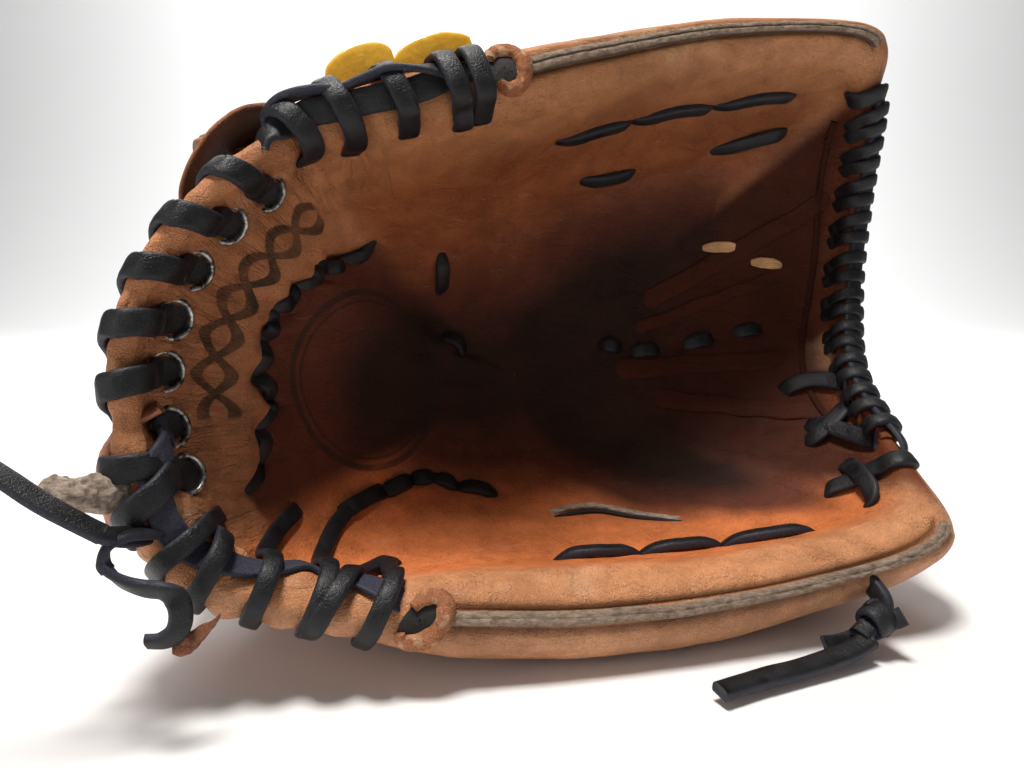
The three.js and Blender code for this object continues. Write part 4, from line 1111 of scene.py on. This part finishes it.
def rolled_end(way, at, toward, colour):
    """The leather's edges rolled into a lip round the dark slot where a welt stops, open toward the laces."""
    arc = np.radians(np.linspace(-148, 148, 64))
    wide, deep = 5.4, 6.6
    per_step = float(run_scale(np.array(at), np.array(2.0)))
    a = at + toward * (wide * np.cos(arc)) / per_step
    d = deep * np.sin(arc) + 0.6
    middle = place(a, d, 1.3)
    size = 2.5 - 0.9 * np.abs(arc / arc.max()) ** 3
    size = size * (1 + 0.16 * noise(middle, 3.4, 86))
    _, up, across = squared(middle, normal(a, side_at(a, d)))
    turn = 2 * np.pi * np.arange(32) / 32
    grid = swept(middle, across, up, size[:, None, None] * np.stack([np.cos(turn), np.sin(turn)], -1))
    grid = grid + 0.35 * unit(grid - middle[:, None]) * noise(grid, 1.6, 87)[..., None]
    verts, faces = capped(grid)
    obj = new_object(f"{way}_rolled_leather", to_row(verts), faces, ROLL_LEATHER)
    tone = mixed(colour, srgb(214, 176, 140), 0.7 * smooth(noise(verts, 2.2, 88), 0.1, 0.6))
    paint(obj, "paint", tone * (1 + 0.2 * noise(verts, 4, 89)[:, None]))
    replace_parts(obj, f"{way}_rolled_end")
    # a near-black disc inside the lip stands for the slot: painted shade
    rings = [place(at + toward * (r * wide * np.cos(turn) - 1.0) / per_step, r * deep * np.sin(turn) + 0.6,
        0.9) for r in (0.05, 0.5, 0.95)]
    slot = new_object(f"{way}_slot_shade", to_row(np.array(rings)), grid_faces(3, 32, close_m=True), PAINTED_SHADE)
    for piece in (obj, slot):
        follow(piece, way)


welt_strip("finger")
welt_strip("thumb")
rolled_end("finger", 6.84, 1, srgb(178, 120, 86))
rolled_end("thumb", 18.76, -1, srgb(150, 98, 68))

# ---- the web's top edge
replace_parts(rim_cap("web_edge_binding", 11.3, 15.2, 4.6, 0.9, srgb(112, 66, 42), 5), "web_binding")
strand("web_edge_run", [(11.15, 2, -1), (11.3, 0.5, 2.0), (11.8, 0, 2.2), (12.5, 0, 2.2), (13.2, 0, 2.2),
    (14.0, 0, 2.2), (14.7, 0, 2.2), (15.1, 0.5, 2.0), (15.3, 1, -1)], "palm", ["web_edge_lace"], 7.4, 2.4,
    steps=10, turns=[0, 12, -8, 10, -10, 8, 0], seed=90)
for k in range(19):
    a = 11.45 + 3.6 * k / 18
    lean = 0.05 if k % 2 else -0.02
    stops = [(a + lean, -14, -2), (a + lean, -11.5, 1.4), (a + lean * 0.6, -7, 2.0),
        (a + lean * 0.3, -3.5, 3.9), (a, 0, 4.4), (a, 3.5, 3.9), (a, 7, 2.0), (a, 11.5, 1.3), (a, 14, -2)]
    strand(f"web_tooth_{k + 1}", stops, "palm", (), 5.4, 2.1, steps=5, seed=91 + k)


# ---- the wrist opening's bound edge
def opening_edge():
    """The edge of the wrist opening, as rows of (at, distance) down one side and back up the other."""
    first, last = [], []
    for a in np.arange(-3.0, 9.5, 0.06):
        at = np.mod(a, LAP)
        d = np.linspace(2, float(longest(at, False)) * 0.997, 400)
        inside = in_opening(skin(at, side_at(at, d)))
        if inside.any():
            first.append((at, d[inside][0]))
            last.append((at, d[inside][-1]))
    return np.array(first + last[::-1])


def softened(values, reach):
    """A closed line with its corners rounded."""
    weights = np.hanning(2 * reach + 1)
    padded = np.concatenate([values[-reach:], values, values[:reach]])
    return np.stack([np.convolve(column, weights / weights.sum(), "valid") for column in padded.T], -1)


def bound_edge(name, middle, up, way):
    """A rounded binding along a line over the leather."""
    _, up, across = squared(middle, up)
    grid = swept(middle, across, up, soft_section(20, 1, 1) * [3.6, 2.0])
    grid = grid + 0.25 * up[:, None] * noise(grid, 4.0, 155)[..., None]
    verts, faces = capped(grid)
    obj = new_object(name, to_row(verts), faces, STRAP_LEATHER)
    paint(obj, "paint", srgb(150, 96, 66) * (1 + 0.15 * noise(verts, 6, 156)[:, None]))
    follow(obj, way)


edge_at, edge_distance = opening_edge().T
edge_sides = side_at(edge_at, edge_distance)
edge = np.hstack([skin(edge_at, edge_sides), normal(edge_at, edge_sides)])
so_far = length_along(edge[:, :3])
even = np.arange(0, so_far[-1], 1.6)
edge = softened(np.stack([np.interp(even, so_far, column) for column in edge.T], -1), 4)
edge[:, 3:] = unit(edge[:, 3:])
for side, keep in (("finger", edge[:, 2] < 1.0), ("thumb", edge[:, 2] > -1.0)):
    run = np.flatnonzero(keep)
    pieces = np.split(run, np.flatnonzero(np.diff(run) > 1) + 1)
    if len(pieces) > 1 and pieces[0][0] == 0 and pieces[-1][-1] == len(edge) - 1:
        pieces = [np.concatenate([pieces[-1], pieces[0]]), *pieces[1:-1]]
    for i, piece in enumerate(pieces):
        if len(piece) > 4:
            bound_edge(f"wrist_edge_{side}_{i + 1}", edge[piece, :3], edge[piece, 3:], side)


# ---- seams, strips and slots
def leather_strand(name, stops, way, width, thick, material, colour, seed, taper=None):
    """A strip that lies like a lace, in leather of one colour."""
    obj = strand(name, stops, way, (), width, thick, taper=taper, seed=seed, material=material)
    paint(obj, "paint", np.broadcast_to(colour, (len(obj.data.vertices), 3)))
    return obj


for k, (a, low, high) in enumerate(((14.3, 14, 118), (13.62, 34, 112), (12.5, 28, 110), (11.75, 24, 96))):
    stops = [(a - (0.02 * i) % 0.05, -low - (high - low) * i / 9, 0.25 if 0 < i < 9 else -1.5) for i in
        range(10)]
    leather_strand(f"web_strip_{k + 1}", stops[::-1], "palm", 9.0 if k != 1 else 6.0, 1.6, SKIN,
        WEB_BROWN * 1.05, 140 + k)
seam_stops = [(11.4 + 3.9 * i / 15, -22 - 2.5 * math.sin(i * 0.6), 0.15) for i in range(16)]
leather_strand("web_edge_seam", seam_stops, "palm", 2.6, 1.5, SKIN, WEB_BROWN * 0.7, 146)
# pale strips where the web has two slots: painted light showing through them
for k, (a, b, d, e) in enumerate(((14.76, 14.32, 88, 64), (13.95, 13.7, 54, 36))):
    stops = [(a + (b - a) * t, -(d + (e - d) * t), 0.9 - 1.6 * abs(2 * t - 1) ** 4) for t in np.linspace(0,
        1, 9)]
    leather_strand(f"web_slot_light_{k + 1}", stops, "palm", 5.0, 1.6, STRAP_LEATHER, srgb(236, 190, 140),
        147 + k, DIVE)
for side, low, high in (("finger", 5.6, 10.4), ("thumb", 15.6, 20.2)):
    stops = [(low + (high - low) * i / 14, 46 + 6 * math.sin(i * 0.45), 0.3) for i in range(15)]
    back_seam = leather_strand(f"{side}_back_seam", stops, side, 3.0, 1.6, STRAP_LEATHER, srgb(150, 98, 66),
        151)
    # the mitt's weight presses the seam it lies on flat
    for vertex in back_seam.data.vertices:
        vertex.co.z = max(vertex.co.z, 0.0003)
slit = [(8.14, -84, -0.6), (8.38, -85.5, 0.5), (8.64, -85.5, 0.6), (8.92, -80, 0.5), (9.2, -74, -0.6)]
leather_strand("palm_slit_edge", slit, "finger", 2.6, 1.5, STUB, srgb(150, 128, 108), 149)
shade_beside = [(a, d + 2.6, h - 0.2) for a, d, h in slit]
leather_strand("palm_slit_shadow", shade_beside, "finger", 1.7, 1.2, PAINTED_SHADE, srgb(20, 14, 10), 150)

# ---- laces through the tips
strand("finger_tip_lace_1", [(10.42, -46, -2), (10.46, -43, 1.5), (10.58, -36, 2.2), (10.72, -27, 2.4),
    (10.86, -18, 2.2), (10.98, -8, 1.6), (11.06, 0, 1.0), (11.1, 6, -2)], "finger", ["finger_tip_lace"],
    7.0, seed=120)
strand("finger_tip_lace_2", [(10.3, -30, -2), (10.34, -27, 1.8), (10.5, -24, 3.8), (10.72, -24, 4.4),
    (10.92, -27, 2.6), (11.0, -30, -1.5)], "finger", (), 6.6, seed=121)
strand("thumb_tip_lace_1", [(15.5, -18, -2), (15.46, -15, 1.5), (15.36, -10, 2.4), (15.28, -4, 2.4),
    (15.24, 2, 2.0), (15.2, 9, 1.2), (15.2, 12, -2)], "thumb", ["thumb_tip_lace"], 6.6, seed=122)
strand("web_lace_end_1", [(12.0, -36, -2), (12.05, -32, 1.8), (12.1, -22, 2.6), (12.06, -12, 2.2),
    (12.05, -6, 1.5)], "palm", (), 7.6, seed=123)
strand("web_lace_end_2", [(11.3, -40, -2), (11.34, -34, 2.0), (11.5, -24, 3.4), (11.7, -14, 2.4),
    (11.8, -9, 1.0)], "palm", (), 7.4, seed=124)
strand("web_lace_end_3", [(11.55, -34, -1.5), (11.5, -28, 2.6), (11.4, -20, 3.4), (11.32, -12, 2.2),
    (11.3, -8, 0.8)], "palm", (), 7.0, seed=125)


# ---- knot, stub, strap, tab, scrap and badge
def ring_lace(name, middle, axis, radius, width, thick, start, sweep, lean, seed):
    """A lace wrapped round an axis of the knot, in the row frame and mm."""
    side = unit(np.cross(axis, [0.1, 0.2, 0.97]))
    share = np.linspace(0, 1, 27)[:, None]
    turn = 2 * np.pi * (start + sweep * share)
    out = side * np.cos(turn) + np.cross(axis, side) * np.sin(turn)
    run = middle + out * radius * (1 + 0.05 * share) + axis * lean * (share - 0.5)
    obj = lace(name, np.hstack([run, out]), LACE, "finger_side", width, thick, 2, seed, row_space=True)
    return obj


KNOT_MIDDLE = 1000 * lying([(97.5, -50, 12)])[0]
knot_run = unit(np.array([14.0, 6.0, 5.0]))
knot = ring_lace("knot_wrap_1", KNOT_MIDDLE, knot_run, 3.9, 7.0, 2.2, 0.1, 1.1, 1.0, 130)
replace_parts(knot, "lace_knot")
second_axis = unit(np.array([2.0, -7, 10.0]))
ring_lace("knot_wrap_2", KNOT_MIDDLE + knot_run * 1.5, second_axis, 4.4, 4.6, 2.0, 0.3, 0.62, 1.5, 131)
lying_lace("knot_core", [(91, -53.5, 8.4), (95, -51, 10.5), (99.5, -48.6, 13), (101, -46, 17),
    (99, -40, 21)], [FLAT, FLAT, (-0.4, -0.3, 0.8), (-0.9, -0.3, 0.2), (-0.9, -0.2, 0.2)], "finger_side",
    6.4, 3.2, seed=132)
lying_lace("knot_short_end", [(98, -49, 11.5), (102, -52, 13), (104.5, -53, 14.8)],
    [(-0.2, -0.7, 0.7), (-0.2, -0.8, 0.5), (-0.3, -0.8, 0.5)], "finger_side", 6.0, 2.3, seed=133)
lying_lace("knot_folded_end", [(97, -48, 9), (92, -49.5, 5.6), (86, -51.5, 4.6), (81, -53, 4.8)],
    [(0.1, -0.75, 0.65), (0.1, -0.85, 0.5), (0.1, -0.8, 0.55), (0.1, -0.7, 0.6)], "finger_side", 6.6, 2.3,
    seed=134)


def rough_bar(name, rows, sizes, rough_by, material, colour=None, seed=0, facing=(0, 0, 1), steps=10,
        *, around):
    """A torn, uneven bar through lying points; sizes are its half width and half thickness at each point."""
    data = catmull(np.hstack([1000 * lying(rows), sizes]), steps)
    p = data[:, :3]
    _, up, across = squared(p, np.array(facing, float))
    grid = swept(p, across, up, soft_section(around, 1, 1) * data[:, None, 3:])
    roughness = noise(grid, 3.2, 140 + seed) + 0.6 * noise(grid, 1.3, 141 + seed)
    verts, faces = capped(grid + unit(grid - p[:, None]) * rough_by * roughness[..., None])
    obj = new_object(name, verts / 1000, faces, material, "palm")
    if colour is not None:
        paint(obj, "paint", colour * (1 + 0.3 * noise(verts, 2.4, 142)[:, None]))
    paint(obj, "ridge", 0.6 * smooth(noise(verts, 1.6, 143 + seed), 0.2, 0.7))
    return obj


stub = rough_bar("frayed_rawhide_stub", [(-108, -76, 60), (-114, -80, 61), (-119.5, -85, 62.5),
    (-124.5, -88.5, 63.4), (-129.5, -90, 65.4), (-131.5, -90, 66.2)], [(3.5, 3.6), (4.2, 4.2), (5.0, 4.8),
    (4.6, 4.2), (3.2, 2.6), (1.0, 0.8)], 0.95, STUB, steps=16, around=56)
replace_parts(stub, "rawhide_stub")
tab = rough_bar("heel_corner_tab", [(-112, -66, 82), (-118.5, -69, 78), (-123, -72, 71), (-124, -75, 64.5),
    (-121.5, -77, 58.5), (-115.5, -79, 54.5), (-108, -80, 51)], [(9, 1.6), (9.5, 2.0), (10, 2.3),
    (9.5, 2.3), (9, 2.2), (8, 2.0), (7, 1.8)], 0.35, STRAP_LEATHER, srgb(184, 126, 98), 3,
    facing=(-0.8, -0.35, 0.3), around=40)
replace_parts(tab, "strap_tab")
rough_bar("torn_leather_scrap", [(-98.6, -97, 26.6), (-96.6, -96, 26.6), (-93.4, -95, 28.4),
    (-90, -94.2, 31.2), (-87.4, -93.6, 34)], [(1.2, 0.8), (2.5, 0.9), (2.1, 0.9), (1.3, 0.7), (0.2, 0.35)],
    0.5, STRAP_LEATHER, srgb(140, 92, 70), 5, facing=(0.2, -0.95, 0.3), around=20)


def band(name, rows, width_way, width, thick, colour, under, seed, sewn=True):
    """A leather band through row-frame points in mm, with soft edges: outside and underside painted apart."""
    data = catmull(rows, 10)
    p = data[:, :3]
    _, across, up = squared(p, width_way)
    outline = soft_section(40, 0.22, 0.75)
    grid = swept(p, across, up, outline * [width / 2, thick / 2])
    grid = grid + up[:, None] * (0.5 * noise(grid, 13, 150 + seed) + 0.25 * noise(grid, 4.5,
        151 + seed))[..., None]
    verts, faces = capped(grid)
    obj = new_object(name, verts / 1000, faces, STRAP_LEATHER, "palm")
    tone = mixed(under, colour, smooth(-outline[:, 1], -0.5, 0.3)) * (1 + 0.16 * noise(grid, 9, 152)[...,
        None])
    paint(obj, "paint", np.vstack([tone.reshape(-1, 3), colour, colour]))
    if sewn:
        threads(f"{name}_thread", p, across, -up, width / 2 - 2.6, thick / 2)
    return obj


def threads(name, p, across, out, aside, lift):
    """Two rows of short thread stitches on a band's outside."""
    so_far = length_along(p)
    lines = np.hstack([p, across, out]).T
    turn = np.arange(6)[:, None] * np.pi / 3
    verts, faces = [], []
    for side in (-1, 1):
        for begin in np.arange(6, so_far[-1] - 8, 4.2):
            base = len(verts)
            for t, size in ((0, 0.15), (0.5, 0.42), (1.4, 0.5), (2.3, 0.42), (2.8, 0.15)):
                spot, over, up = np.array([np.interp(begin + t, so_far, column) for column in
                    lines]).reshape(3, 3)
                middle = spot + over * aside * side + up * (lift + 0.25)
                verts += list(middle + size * (over * np.cos(turn) + up * np.sin(turn)))
            faces += [tuple(base + i for i in f) for f in grid_faces(5, 6, close_m=True)]
    new_object(name, np.array(verts) / 1000, faces, THREAD, "palm")


STRAP_PATH = [[-84, -6, 74], [-94, 10, 86], [-97, 30, 91], [-96, 58, 86], [-94, 80, 66], [-93, 94, 36],
    [-92, 99, 8], [-92, 96, -28], [-94, 80, -53], [-97, 60, -60], [-99, 44, -62]]
wrist_strap = band("wrist_strap_band", 1000 * to_row(STRAP_PATH), LIE[:, 0], 30, 3.2, srgb(190, 132, 94),
    srgb(120, 98, 82), 1)
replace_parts(wrist_strap, "strap")
corner_rows = 1000 * lying([(-76, -22, 163), (-88, -28, 166.5), (-96, -31, 165), (-103, -33, 160),
    (-109, -33, 152), (-113.5, -30, 142), (-115, -26, 131), (-112, -20, 120), (-104, -14, 112)])
band("heel_corner_band", corner_rows + [0, 8, 0], np.array([0, 1.0, 0]), 34, 2.8, srgb(170, 112, 78),
    srgb(98, 70, 54), 2, sewn=False)


def badge_plate():
    """The plain two-humped badge that stands behind the thumb side's rim."""
    count, thick = 110, 2.1
    at = np.linspace(18.9, 20.2, count)
    share = np.linspace(0, 1, count)
    wave = np.abs(np.sin(2 * np.pi * share))
    hump = np.where(share < 0.5, wave**0.42, 1.38 * wave**0.3)
    top = 4.5 + 6.0 * hump * smooth(share, 0.0, 0.02) * (1 - smooth(share, 0.98, 1.0))
    foot = place(at, 15.0, 0.4)
    up = np.broadcast_to(LIE[2], foot.shape)
    out = unit(place(at, 20.0, 0) - foot)
    out = unit(out - up * (out * up).sum(-1, keepdims=True))
    section = soft_section(24, 0.4, 0.4)
    height = top[:, None] * (section[:, 1] + 1) / 2
    across = np.broadcast_to(section[:, 0] * thick, height.shape)
    verts, faces = capped(swept(foot, out, up, np.stack([across, height], -1)))
    obj = new_object("badge_plate", to_row(verts), faces, GOLD, "thumb_side")
    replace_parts(obj, "badge")


badge_plate()

# ---- floor, light and finish
sweep = [(-1.5, 0.0), (1.4, 0.0)]
sweep += [(1.4 + 0.9 * math.sin(t), 0.9 - 0.9 * math.cos(t)) for t in np.linspace(0.1, math.pi / 2, 14)]
sweep += [(2.3, 3.2)]
floor = new_object("floor", [(x, y, z) for y, z in sweep for x in (-3.5, 3.5)],
    grid_faces(len(sweep), 2, flip=True), None)
floor.data.materials.append(Graph("floor_paper").finish([], Base_Color=(0.86, 0.86, 0.86), Roughness=0.9))


def area_light(name, where, towards, size, power, colour=(1, 1, 1)):
    """A round lamp, in metres and watts, that looks towards a point."""
    data = bpy.data.lights.new(name, "AREA")
    data.shape, data.size, data.energy, data.color = "DISK", size, power, colour
    lamp = bpy.data.objects.new(name, data)
    lamp.location = where
    lamp.rotation_euler = (Vector(towards) - Vector(where)).to_track_quat("-Z", "Y").to_euler()
    bpy.context.collection.objects.link(lamp)


area_light("key", (-0.14, -0.19, 1.05), (0, -0.05, 0.08), 0.3, 13, (1.0, 0.965, 0.92))
area_light("fill", (-0.8, -0.8, 0.35), (0, 0, 0.1), 0.7, 2.4)
area_light("rim", (-0.45, 0.8, 0.9), (0, 0, 0.1), 0.6, 3)
area_light("backdrop", (0, 0.9, 1.6), (0, 2.4, 0.4), 1.4, 45)

world = bpy.data.worlds.new("studio")
world.use_nodes = True
world.node_tree.nodes["Background"].inputs["Color"].default_value = (1, 1, 1, 1)
world.node_tree.nodes["Background"].inputs["Strength"].default_value = 0.13
bpy.context.scene.world = world
bpy.context.scene.view_settings.view_transform = "Standard"
